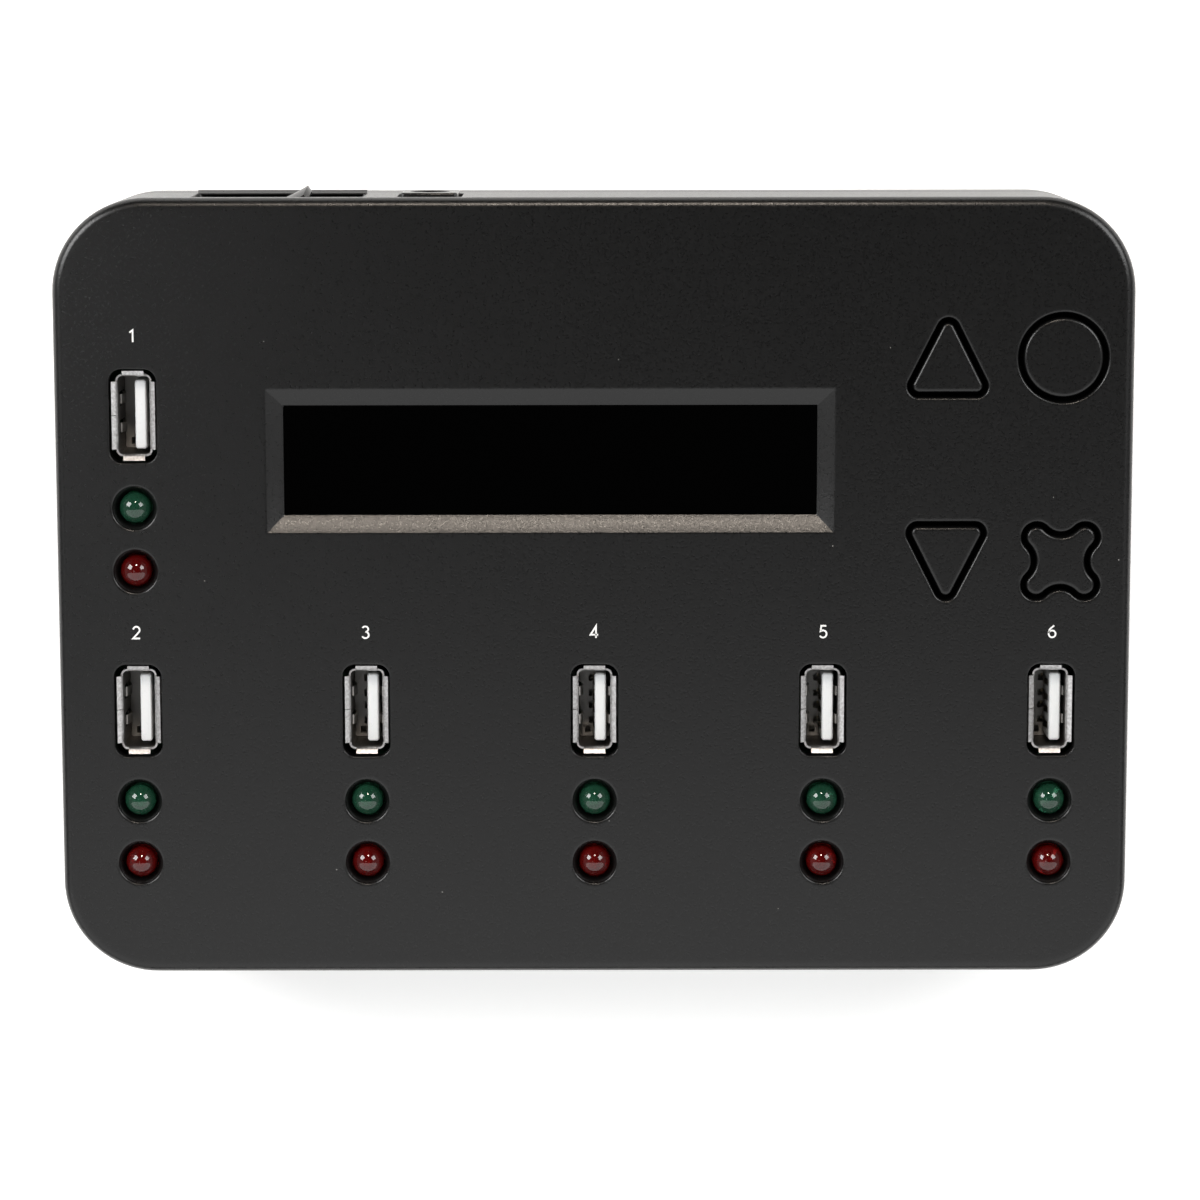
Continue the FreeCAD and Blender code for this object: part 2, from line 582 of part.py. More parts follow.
def make_upper_shell():
    body = new_body("shell_blank")
    outline = sketch_in(body, "shell_outline", level=SPLIT)
    case_outline_in(outline, 0)
    blank = pad_of(body, outline, f"{PANEL} - {SPLIT}")
    rounded = fillet_at(body, blank, PANEL, "edgeRound")
    hollow = sketch_in(body, "shell_hollow", level=SPLIT)
    case_outline_in(hollow, "wall")
    pocket_of(body, hollow, f"{CEILING} - {SPLIT}")
    rebate = sketch_in(body, "shell_rebate", level=SPLIT)
    case_outline_in(rebate, "wall / 2")
    pocket_of(body, rebate, "lipHeight + lipGap")

    added = [body]
    foot = f"({LIP_TOP} + lipGap)"
    length = f"{CEILING} - {foot} + skin / 2"
    for index, (x, y) in enumerate(CASE_SCREWS):
        added.append(rod(f"case_post_{index}", "postRadius", length, x, y, foot))
    length = f"{CEILING} - {BOARD_TOP} + skin / 2"
    for index, (x, y) in enumerate(BOARD_SCREWS):
        added.append(rod(f"board_post_{index}", "boardPostRadius", length, x, y, BOARD_TOP))
    length = "lcdPostLength + skin / 2"
    for index, (x, y) in enumerate(LCD_SCREWS):
        added.append(rod(f"display_post_{index}", "lcdPostRadius", length, x, y, LCD_TOP))
    depth = "(recessDepth + recessFloor - wall / 2)"
    tall = "(recessTall + 2 * recessFloor)"
    middle = f"({REAR} - recessDepth - recessFloor + {depth} / 2)"
    width = "(recessWidth + 2 * recessFloor)"
    low = f"{SWITCH_LEVEL} - {tall} / 2"
    added.append(box("recess_block", width, depth, tall, "switchMiddle", middle, low))
    middle = f"({REAR} + (ledgeProud - wall) / 2)"
    spot = ("switchMiddle", middle, f"{SWITCH_LEVEL} - recessTall / 2 - ledgeTall")
    added.append(box("thumb_ledge", "recessWidth", "(ledgeProud + wall)", "ledgeTall", *spot))
    solid = fuse("shell_solid", added)

    cuts = []
    sizes = ("portHoleWidth", "portHoleLength", "portHoleCorner", "skin + 2 * over")
    for index, (x, y) in enumerate(PORTS):
        cuts.append(prism(f"port_hole_{index}", *sizes, x, y, f"{CEILING} - over"))
    for index, (x, y) in enumerate(GREEN_LAMPS + RED_LAMPS):
        bore = "(lampRadius + lampGap)"
        wide = f"(dishRadius + (dishRadius - {bore}) * over / skin)"
        cuts.append(cone(f"lamp_dish_{index}", bore, wide, "skin + over", x, y, CEILING))
    for key, (x, y) in KEYS.items():
        hole = new_body(f"{key}_hole")
        sketch = sketch_in(hole, f"{key}_hole_outline")
        key_outline_in(sketch, key, "keyGap")
        pad_of(hole, sketch, "skin + 2 * over")
        cuts.append(place(hole, x, y, f"{CEILING} - over"))
    spot = ("windowMiddleSide", "windowMiddleRow", f"{CEILING} - over / 2")
    cuts.append(box("window_hole", "windowWidth", "windowHeight", "skin + over", *spot))
    cuts.append(make_window_bevel())
    slope = "(recessTaper * (recessDepth + over) / recessDepth)"
    wide = "(recessWidth + 2 * recessTaper * over / recessDepth)"
    cuts.append(rear_pocket("recess_hollow", wide, "recessTall", slope, RECESS_FACE, "recessDepth + over"))
    body_length = "(2 * (rockerHalf + rockerEndGap + switchWallLong + cutFit))"
    body_tall = "(rockerTall + 2 * (rockerSideGap + switchWallTall + cutFit))"
    depth = "(recessFloor + 2 * over)"
    low = f"{SWITCH_LEVEL} - {body_tall} / 2"
    middle = f"({RECESS_FACE} - recessFloor / 2)"
    cuts.append(box("switch_hole", body_length, depth, body_tall, "switchMiddle", middle, low))
    width = "(jackWidth + 2 * jackGap)"
    tall = "(jackTall + jackGap)"
    spot = ("jackMiddle", f"({REAR} - wall / 2)", BOARD_TOP)
    cuts.append(box("jack_hole", width, "(wall + 2 * over)", tall, *spot))
    for index, (x, y) in enumerate(CASE_SCREWS):
        low = f"{UNDERSIDE} + screwHeadSink + over"
        cuts.append(rod(f"case_pilot_{index}", "screwRadius + screwFit", "screwLength", x, y, low))
    bore = "boardScrewRadius + screwFit"
    for index, (x, y) in enumerate(BOARD_SCREWS):
        low = f"{BOARD_LOW} + over / 2"
        cuts.append(rod(f"board_pilot_{index}", bore, "boardScrewLength", x, y, low))
    for index, (x, y) in enumerate(LCD_SCREWS):
        low = f"{LCD_TOP} - lcdBoardThick + over / 2"
        cuts.append(rod(f"display_pilot_{index}", "lcdScrewRadius + screwFit", "lcdScrewLength", x, y, low))
    return cut("top_shell", solid, group("shell_cuts", cuts))


def make_window_bevel():
    # The sloped border narrows downwards to the window.
    item = doc.addObject("Part::Wedge", "window_bevel")
    steep = "(bevelWidth * (bevelDepth + over) / bevelDepth)"
    across = "windowWidth / 2"
    along = "windowHeight / 2"
    bind(item, Ymin=0, Ymax="bevelDepth + over")
    bind(item, Xmin=f"-{across}", Xmax=across, Zmin=f"-{along}", Zmax=along)
    bind(item, X2min=f"-{across} - {steep}", X2max=f"{across} + {steep}")
    bind(item, Z2min=f"-{along} - {steep}", Z2max=f"{along} + {steep}")
    turn = (FreeCAD.Vector(1, 0, 0), 90)
    return place(item, "windowMiddleSide", "windowMiddleRow", f"{PANEL} - bevelDepth", turn)


# Lower shell: floor, walls, tongue, screw posts, seats for the feet
def make_lower_shell():
    body = new_body("base_blank")
    outline = sketch_in(body, "base_outline", level=UNDERSIDE)
    case_outline_in(outline, 0)
    blank = pad_of(body, outline, "splitHeight - revealHeight")
    fillet_at(body, blank, UNDERSIDE, "baseRound")
    neck = sketch_in(body, "base_neck", level=f"{SPLIT} - revealHeight")
    case_outline_in(neck, "revealDepth")
    pad_of(body, neck, "revealHeight")
    tongue = sketch_in(body, "base_tongue", level=SPLIT)
    case_outline_in(tongue, "wall / 2 + lipGap")
    pad_of(body, tongue, "lipHeight")
    hollow = sketch_in(body, "base_hollow", level="footProud + floorSkin")
    case_outline_in(hollow, "wall")
    pocket_of(body, hollow, "caseHeight")

    floor = "(footProud + floorSkin / 2)"
    added = [body]
    for index, (x, y) in enumerate(CASE_SCREWS):
        added.append(rod(f"base_post_{index}", "postRadius", f"{LIP_TOP} - {floor}", x, y, floor))
    solid = fuse("base_solid", added)
    low = f"{UNDERSIDE} - over"
    depth = "screwHeadSink + over"
    cuts = []
    for index, (x, y) in enumerate(CASE_SCREWS):
        cuts.append(rod(f"screw_hole_{index}", "screwRadius + pinFit", "caseHeight", x, y, low))
        cuts.append(rod(f"head_hole_{index}", "screwHeadRadius + pinFit", depth, x, y, low))
    for index, (x, y) in enumerate(FEET):
        cuts.append(rod(f"foot_seat_{index}", "footRadius", "footSeat + over", x, y, low))
    return cut("bottom_shell", solid, fuse("base_cuts", cuts))


def make_feet():
    feet = []
    for index, (x, y) in enumerate(FEET):
        foot = new_body(f"foot_{index}")
        profile = sketch_in(foot, f"foot_profile_{index}", role="XZ_Plane")
        thick = "(footProud + footSeat)"
        points = [
            ("0", "0"),
            ("footRadius - footChamfer", "0"),
            ("footRadius", "footChamfer"),
            ("footRadius", thick),
            ("0", thick),
        ]
        outline_in(profile, points)
        revolve_of(foot, profile)
        feet.append(place(foot, x, y))
    return group("rubber_feet", feet)


# Screws, each a head with a cross recess on a plain shank, driven upwards
def screw(name, head_radius, head_thick, radius, length, x, y, seat):
    # seat is the height of the face that the head pulls against.
    head = rod(f"{name}_head", head_radius, head_thick, x, y, f"{seat} - {head_thick}")
    shank = rod(f"{name}_shank", radius, f"({length}) + over / 2", x, y, f"{seat} - over / 2")
    arm = f"(2 * ({head_radius} - socketMargin))"
    low = f"{seat} - {head_thick} - over"
    slots = []
    for index, (length_x, length_y) in enumerate([(arm, "socketWidth"), ("socketWidth", arm)]):
        slots.append(box(f"{name}_slot_{index}", length_x, length_y, "socketDepth + over", x, y, low))
    return cut(name, fuse(f"{name}_blank", [head, shank]), fuse(f"{name}_cross", slots))


def make_screws():
    case = []
    sizes = ("screwHeadRadius", "screwHeadThick", "screwRadius", "screwLength")
    for index, (x, y) in enumerate(CASE_SCREWS):
        case.append(screw(f"case_screw_{index}", *sizes, x, y, f"({UNDERSIDE} + screwHeadSink)"))
    board = []
    sizes = ("boardHeadRadius", "boardHeadThick", "boardScrewRadius", "boardScrewLength")
    for index, (x, y) in enumerate(BOARD_SCREWS):
        board.append(screw(f"board_screw_{index}", *sizes, x, y, BOARD_LOW))
    display = []
    sizes = ("lcdHeadRadius", "lcdHeadThick", "lcdScrewRadius", "lcdScrewLength")
    for index, (x, y) in enumerate(LCD_SCREWS):
        display.append(screw(f"display_screw_{index}", *sizes, x, y, f"({LCD_TOP} - lcdBoardThick)"))
    return [group("case_screws", case), group("board_screws", board), group("lcd_screws", display)]


# Main board, with a hole for each pin that stands in it
def make_main_board():
    body = new_body("board_blank")
    outline = sketch_in(body, "board_outline", level=BOARD_LOW)
    side = "(caseWidth / 2 - wall - boardGap)"
    near = f"({side} - boardCorner)"
    front_in = f"({BOARD_FRONT} + boardCorner)"
    rear_in = f"({BOARD_REAR} - boardCorner)"
    points = [
        (f"-{near}", BOARD_FRONT),
        (near, BOARD_FRONT),
        (side, front_in),
        (side, rear_in),
        (near, BOARD_REAR),
        (f"-{near}", BOARD_REAR),
        (f"-{side}", rear_in),
        (f"-{side}", front_in),
    ]
    outline_in(outline, points)
    pad_of(body, outline, "boardThick")

    low = f"{BOARD_LOW} - over"
    tall = "boardThick + 2 * over"
    cuts = []
    for index, (x, y) in enumerate(CASE_SCREWS):
        cuts.append(rod(f"board_bite_{index}", "postRadius + postClearance", tall, x, y, low))
    for index, (x, y) in enumerate(BOARD_SCREWS):
        cuts.append(rod(f"board_hole_{index}", "boardScrewRadius + pinFit", tall, x, y, low))
    for index, (x, y) in enumerate(GREEN_LAMPS + RED_LAMPS):
        for side in (-1, 1):
            spot = f"{x} + {side} * leadPitch / 2"
            cuts.append(rod(f"lead_hole_{index}_{side + 1}", "leadHole", tall, spot, y, low))
    for index, (x, y) in enumerate(HEADER_PINS):
        cuts.append(rod(f"header_hole_{index}", "headerHole", tall, x, y, low))
    pin_size = ("(contactThick + 2 * pinFit)", "(contactWidth + 2 * pinFit)", tall)
    leg_size = ("(legWidth + 2 * pinFit)", "(usbSheet + 2 * pinFit)", tall)
    for index, (x, y) in enumerate(PORTS):
        for pin, spot in enumerate(CONTACTS):
            name = f"pin_hole_{index}_{pin}"
            cuts.append(box(name, *pin_size, contact_side(x), f"({y} + {spot})", low))
        for end in (-1, 1):
            spot = f"({y} + {end} * (usbLength + usbSheet) / 2)"
            cuts.append(box(f"leg_hole_{index}_{end + 1}", *leg_size, x, spot, low))
    for side in (-1, 1):
        x = f"(switchMiddle + {side} * bladeSpread)"
        width = "(bladeWidth + 2 * pinFit)"
        depth = "(bladeThick + 2 * pinFit)"
        cuts.append(box(f"blade_hole_{side + 1}", width, depth, tall, x, blade_row(), low))
    return cut("main_board", body, group("board_cuts", cuts))


# Display: pane, metal frame, glass, light guide, board and pins
def make_display():
    x = "windowMiddleSide"
    y = "windowMiddleRow"
    size = ("(windowWidth - 2 * paneGap)", "(windowHeight - 2 * paneGap)", "(skin - bevelDepth - paneDrop)")
    plug = box("pane_plug", *size, x, y, CEILING)
    size = ("(windowWidth + 2 * paneFlange)", "(windowHeight + 2 * paneFlange)", "paneFlangeThick")
    rim = box("pane_rim", *size, x, y, f"{CEILING} - paneFlangeThick")
    pane = fuse("display_window", [plug, rim])

    inner_width = "(lcdFrameWidth - 2 * lcdFrameSheet)"
    inner_depth = "(lcdFrameDepth - 2 * lcdFrameSheet)"
    inner_tall = "(lightGuideThick + lcdGlassThick)"
    size = ("lcdFrameWidth", "lcdFrameDepth", f"{inner_tall} + lcdFrameSheet")
    blank = box("frame_blank", *size, x, y, LCD_TOP)
    size = (inner_width, inner_depth, f"{inner_tall} + over")
    hollow = box("frame_hollow", *size, x, y, f"{LCD_TOP} - over")
    view_width = "(windowWidth + 2 * lcdOpeningMargin)"
    view_depth = "(windowHeight + 2 * lcdOpeningMargin)"
    view = box("frame_view", view_width, view_depth, f"{inner_tall} + over", x, y, LCD_TOP)
    frame = cut("lcd_frame", blank, fuse("frame_cuts", [hollow, view]))

    size = (f"({inner_width} - 2 * lcdInnerGap)", f"({inner_depth} - 2 * lcdInnerGap)")
    guide = box("lcd_light_guide", *size, "lightGuideThick", x, y, LCD_TOP)
    glass = box("lcd_glass", *size, "lcdGlassThick", x, y, f"{LCD_TOP} + lightGuideThick")

    size = ("lcdBoardWidth", "lcdBoardDepth", "lcdBoardThick")
    blank = box("lcd_blank", *size, x, y, f"{LCD_TOP} - lcdBoardThick")
    low = f"{LCD_TOP} - lcdBoardThick - over"
    tall = "lcdBoardThick + 2 * over"
    cuts = []
    for index, (hole_x, hole_y) in enumerate(LCD_SCREWS):
        cuts.append(rod(f"lcd_hole_{index}", "lcdScrewRadius + pinFit", tall, hole_x, hole_y, low))
    for index, (hole_x, hole_y) in enumerate(HEADER_PINS):
        cuts.append(rod(f"lcd_pin_hole_{index}", "headerHole", tall, hole_x, hole_y, low))
    board = cut("lcd_board", blank, group("lcd_cuts", cuts))
    return [pane, frame, guide, glass, board, make_header()]


def make_header():
    gap = f"({LCD_TOP} - lcdBoardThick - {BOARD_TOP})"
    middle = "(windowMiddleSide - lcdBoardWidth / 2 + headerFromLeft)"
    row = "(windowMiddleRow + lcdBoardDepth / 2 - headerInset)"
    strip = box("header_strip", "16 * headerPitch", "headerPitch", gap, middle, row, BOARD_TOP)
    holes = []
    pins = []
    low = f"({BOARD_TOP} - tailReach)"
    tall = f"({LCD_TOP} + headerTop - {low})"
    hole_tall = f"{gap} + 2 * over"
    for index, (x, y) in enumerate(HEADER_PINS):
        spot = (x, y, f"{BOARD_TOP} - over")
        holes.append(box(f"strip_hole_{index}", "headerPin", "headerPin", hole_tall, *spot))
        pins.append(box(f"header_pin_{index}", "headerPin", "headerPin", tall, x, y, low))
    return group("lcd_header", [cut("header_base", strip, group("strip_holes", holes))] + pins)


# Upright receptacles: metal shell, plastic tongue, spring contacts
def make_usb_shell(index, x, y):
    body = new_body(f"usb_tube_{index}")
    tube = "usbHeight - flareHeight"
    outer = sketch_in(body, f"usb_outer_{index}")
    size = ("(usbWidth + 2 * usbSheet)", "(usbLength + 2 * usbSheet)")
    rounded_box_in(outer, *size, "usbCorner + usbSheet")
    pad_of(body, outer, tube)
    inner = sketch_in(body, f"usb_inner_{index}")
    rounded_box_in(inner, "usbWidth", "usbLength", "usbCorner")
    pocket_of(body, inner, tube)
    lips = [
        ("long", "XZ_Plane", "usbWidth / 2", "sideLip"),
        ("short", "YZ_Plane", "usbLength / 2", "endLip"),
    ]
    for kind, role, half, length in lips:
        for side in (-1, 1):
            profile = sketch_in(body, f"usb_{kind}_lip_{index}_{side + 1}", role=role)
            root = "(usbHeight - flareHeight)"
            points = [
                (f"{side} * ({half})", root),
                (f"{side} * ({half} + usbSheet)", root),
                (f"{side} * ({half} + flareOut + usbSheet)", "(usbHeight - usbSheet)"),
                (f"{side} * ({half} + flareOut + usbSheet / 2)", "usbHeight"),
            ]
            outline_in(profile, points)
            pad_of(body, profile, length, symmetric=True)
    place(body, x, y, BOARD_TOP)
    parts = [body]
    for end in (-1, 1):
        spot = (x, f"({y} + {end} * (usbLength + usbSheet) / 2)", f"{BOARD_TOP} - legReach")
        parts.append(box(f"usb_leg_{index}_{end + 1}", "legWidth", "usbSheet", "legReach + over", *spot))
    return fuse(f"usb_shell_{index + 1}", parts)


def contact_side(x):
    return f"({x} + tongueShift - tongueThick / 2 - contactThick / 2)"


def make_usb_insulator(index, x, y):
    width = "(usbWidth - 2 * insulatorGap)"
    length = "(usbLength - 2 * insulatorGap)"
    base = box(f"usb_base_{index}", width, length, "insulatorBase", x, y, BOARD_TOP)
    size = ("tongueThick", "tongueWidth", "usbHeight - tongueSetback")
    tongue = box(f"usb_tongue_{index}", *size, f"({x} + tongueShift)", y, BOARD_TOP)
    slots = []
    size = ("contactThick", "contactWidth", "insulatorBase + 2 * over")
    for pin, row in enumerate(CONTACTS):
        spot = (contact_side(x), f"({y} + {row})", f"{BOARD_TOP} - over")
        slots.append(box(f"usb_slot_{index}_{pin}", *size, *spot))
    solid = fuse(f"usb_plastic_{index}", [base, tongue])
    return cut(f"usb_insulator_{index + 1}", solid, group(f"usb_slots_{index}", slots))


def make_usb_contacts():
    strips = []
    tall = "(usbHeight - tongueSetback - contactShort + tailReach)"
    for index, (x, y) in enumerate(PORTS):
        for pin, row in enumerate(CONTACTS):
            spot = (contact_side(x), f"({y} + {row})", f"({BOARD_TOP} - tailReach)")
            strips.append(box(f"contact_{index}_{pin}", "contactThick", "contactWidth", tall, *spot))
    return group("usb_contacts", strips)


# Lamps, each turned from its foot ring, body and dome
def make_lamp(name, x, y):
    body = new_body(name)
    profile = sketch_in(body, name + "_profile", role="XZ_Plane")
    points = [
        ("0", "0"),
        ("lampFlange", "0"),
        ("lampFlange", "lampFlangeThick"),
        ("lampRadius", "lampFlangeThick"),
        ("lampRadius", "lampHeight"),
        ("0", "lampHeight + lampRadius"),
    ]
    outline_in(profile, points, {4: "lampRadius"})
    revolve_of(body, profile)
    return place(body, x, y, f"{PANEL} - domeDrop - lampHeight")


def make_lamps():
    lamps = []
    leads = []
    spacers = []
    foot = f"({PANEL} - domeDrop - lampHeight)"
    for colour, spots in (("green", GREEN_LAMPS), ("red", RED_LAMPS)):
        for index, (x, y) in enumerate(spots):
            name = f"{colour}_led_{index + 1}"
            lamps.append(make_lamp(name, x, y))
            tall = f"{foot} - {BOARD_TOP} + tailReach"
            for side in (-1, 1):
                spot = (f"({x} + {side} * leadPitch / 2)", y, f"{BOARD_TOP} - tailReach")
                leads.append(box(f"{name}_lead_{side + 1}", "leadSize", "leadSize", tall, *spot))
            tall = f"{foot} - {BOARD_TOP}"
            tube = rod(f"{name}_tube", "lampRadius", tall, x, y, BOARD_TOP)
            bore = rod(f"{name}_bore", "spacerBore", f"{tall} + 2 * over", x, y, f"{BOARD_TOP} - over")
            spacers.append(cut(f"{name}_spacer", tube, bore))
    return lamps + [group("led_leads", leads), group("led_spacers", spacers)]


# Keys, each a cap, a rim under the panel and a stem, on a push switch
def make_keys():
    pieces = []
    bodies = []
    for key, (x, y) in KEYS.items():
        body = new_body(f"key_{key}")
        rim_top = f"({CEILING} - keyRun)"
        rim = sketch_in(body, f"{key}_rim", level=f"{rim_top} - keyFlangeThick")
        key_outline_in(rim, key, "(keyGap + keyFlange)")
        pad_of(body, rim, "keyFlangeThick")
        cap = sketch_in(body, f"{key}_cap", level=rim_top)
        key_outline_in(cap, key, "0")
        cap_pad = pad_of(body, cap, f"{PANEL} - {rim_top}")
        stem = sketch_in(body, f"{key}_stem", level=TACT_TOP)
        circle_in(stem, "stemRadius")
        stem_pad = pad_of(body, stem, f"{rim_top} - {TACT_TOP}")
        fillet_at(body, stem_pad, PANEL, "keyRound")
        pieces.append(place(body, x, y))

        plunger_low = f"({BOARD_TOP} + tactBody - tactPlungerSink)"
        tall = f"{TACT_TOP} - {plunger_low}"
        pieces.append(rod(f"plunger_{key}", "tactPlunger", tall, x, y, plunger_low))
        block = box(f"tact_block_{key}", "tactSize", "tactSize", "tactBody", x, y, BOARD_TOP)
        bore_low = f"{BOARD_TOP} + tactBody - tactBoreDepth"
        bore = rod(f"tact_bore_{key}", "tactBore", "tactBoreDepth + over", x, y, bore_low)
        bodies.append(cut(f"tact_switch_{key}", block, bore))
    return pieces + [group("tact_switches", bodies)]


# Power switch in the rear recess
def blade_row():
    return f"({RECESS_FACE} - switchDepth - bladeReach + bladeThick / 2)"


def make_power_switch():
    open_length = "(2 * (rockerHalf + rockerEndGap))"
    open_tall = "(rockerTall + 2 * rockerSideGap)"
    length = f"({open_length} + 2 * switchWallLong)"
    tall = f"({open_tall} + 2 * switchWallTall)"
    x = "switchMiddle"
    spot = (x, f"({RECESS_FACE} - switchDepth / 2)", f"{SWITCH_LEVEL} - {tall} / 2")
    case = box("switch_case", length, "switchDepth", tall, *spot)
    spot = (x, f"({RECESS_FACE} + bezelThick / 2)", f"{SWITCH_LEVEL} - bezelTall / 2")
    bezel = box("switch_bezel", "bezelLength", "bezelThick", "bezelTall", *spot)
    well_low = f"({PIVOT} - switchWell)"
    depth = f"({RECESS_FACE} + bezelThick + over - {well_low})"
    spot = (x, f"({well_low} + {depth} / 2)", f"{SWITCH_LEVEL} - {open_tall} / 2")
    well = box("switch_well", open_length, depth, open_tall, *spot)
    reach = f"({open_tall} / 2 + pivotReach + pivotFit)"
    spot = (x, PIVOT, f"{SWITCH_LEVEL} - {reach}")
    bearing = rod("switch_bearing", "pivotRadius + pivotFit", f"2 * {reach}", *spot)
    blank = fuse("switch_blank", [case, bezel])
    frame = cut("power_switch_body", blank, fuse("switch_cuts", [well, bearing]))

    blades = []
    middle = f"({RECESS_FACE} - switchDepth - bladeReach / 2)"
    level = f"({SWITCH_LEVEL} - bladeThick / 2)"
    low = f"({BOARD_TOP} - tailReach)"
    tall = f"{level} - {low} + bladeThick"
    for side in (-1, 1):
        spot = f"({x} + {side} * bladeSpread)"
        flat = box(f"blade_flat_{side + 1}", "bladeWidth", "bladeReach", "bladeThick", spot, middle, level)
        leg = box(f"blade_leg_{side + 1}", "bladeWidth", "bladeThick", tall, spot, blade_row(), low)
        blades.append(fuse(f"blade_{side + 1}", [flat, leg]))
    return [frame, group("switch_terminals", blades), make_rocker()]


def make_rocker():
    # Two faces that meet in a shallow valley over the pivot. It rests tilted by half its swing.
    body = new_body("power_rocker")
    profile = sketch_in(body, "rocker_profile")
    high = "(rockerValley + rockerRise)"
    points = [
        ("0", "rockerValley"),
        ("-rockerHalf", high),
        ("-rockerFootHalf", "rockerFootRise"),
        ("-rockerKeelHalf", "-rockerKeelDrop"),
        ("rockerKeelHalf", "-rockerKeelDrop"),
        ("rockerFootHalf", "rockerFootRise"),
        ("rockerHalf", high),
    ]
    outline_in(profile, points)
    pad_of(body, profile, "rockerTall", symmetric=True)
    axle = sketch_in(body, "rocker_axle")
    circle_in(axle, "pivotRadius")
    pad_of(body, axle, "rockerTall + 2 * (rockerSideGap + pivotReach)", symmetric=True)
    place(body, "switchMiddle", PIVOT, SWITCH_LEVEL)
    body.Placement.Rotation = FreeCAD.Rotation(FreeCAD.Vector(0, 0, 1), 1)
    body.setExpression("Placement.Rotation.Angle", full("rockerSwing / 2"))
    return body


# Supply jack, standing on the board behind its hole in the rear wall
def make_jack():
    x = "jackMiddle"
    face = f"({REAR} + jackProud)"
    body = new_body("jack_blank")
    front = sketch_in(body, "jack_front", role="XZ_Plane", level=f"-{face}")
    half = "(jackWidth / 2)"
    shoulder = "(jackTall - jackRound)"
    points = [
        (f"-{half}", "0"),
        (half, "0"),
        (half, shoulder),
        (f"{half} - jackRound", "jackTall"),
        (f"-{half} + jackRound", "jackTall"),
        (f"-{half}", shoulder),
    ]
    outline_in(front, points, {2: "jackRound", 4: "jackRound"})
    pad_of(body, front, "jackDepth")
    place(body, x, 0, BOARD_TOP)
    axis = f"({BOARD_TOP} + jackAxis)"
    level_rod = (FreeCAD.Vector(1, 0, 0), 90)
    barrel = rod("jack_barrel", "barrelRadius", "barrelDepth + over")
    place(barrel, x, f"{face} + over", axis, level_rod)
    socket = rod("jack_pin_socket", "jackPinRadius", "barrelDepth + over")
    place(socket, x, f"{face} - jackPinSetback", axis, level_rod)
    housing = cut("dc_jack_body", body, fuse("jack_hollow", [barrel, socket]))
    pin = rod("dc_jack_pin", "jackPinRadius", "barrelDepth + over")
    place(pin, x, f"{face} - jackPinSetback", axis, level_rod)
    return [housing, pin]


# Parts soldered to the main board
def make_board_parts():
    cans = []
    for column in (-1, 0, 1):
        for side in (-1, 1):
            x = f"({column} * capacitorColumn + {side} * capacitorSpread)"
            name = f"capacitor_{column + 1}_{side + 1}"
            cans.append(rod(name, "capacitorRadius", "capacitorHeight", x, "capacitorRow", BOARD_TOP))
    low = f"{BOARD_LOW} - chipThick"
    chips = [box("controller", "chipSize", "chipSize", "chipThick", 0, "chipRow", low)]
    for side in (-1, 1):
        spot = (f"({side} * hubSpread)", "chipRow", low)
        chips.append(box(f"hub_{side + 1}", "hubSize", "hubSize", "chipThick", *spot))
    size = ("crystalLength", "crystalWidth", "crystalCorner", "crystalTall")
    low = f"{BOARD_LOW} - crystalTall"
    crystal = prism("crystal", *size, 0, "(chipRow - crystalFromChip)", low)
    return [group("capacitors", cans), group("controller_chips", chips), crystal]


def make_ports():
    pieces = []
    for index, (x, y) in enumerate(PORTS):
        pieces.append(make_usb_shell(index, x, y))
        pieces.append(make_usb_insulator(index, x, y))
    return pieces + [make_usb_contacts()]


nodes = [make_upper_shell(), make_lower_shell(), make_feet(), make_main_board()]
nodes += make_screws()
nodes += make_display()
nodes += make_ports()
nodes += make_lamps()
nodes += make_keys()
nodes += make_power_switch()
nodes += make_jack()
nodes += make_board_parts()
doc.recompute()

# Nothing is written unless every feature worked.
faults = [item.Name for item in doc.Objects if {"Invalid", "Error"} & set(item.State)]
if faults:
    raise RuntimeError("features that failed: " + ", ".join(faults))
for node in nodes:
    if node.Shape.isNull() or not node.Shape.isValid() or not node.Shape.Solids:
        raise RuntimeError("no sound shape for " + node.Label)

os.makedirs("parts", exist_ok=True)
for node in nodes:
    node.Shape.exportStep(f"parts/{node.Label}.step")
print(len(nodes), "nodes,", sum(len(node.Shape.Solids) for node in nodes), "solids")
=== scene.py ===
import json
import math

import bmesh
import bpy
import numpy as np
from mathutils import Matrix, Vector
from mathutils.geometry import tessellate_polygon


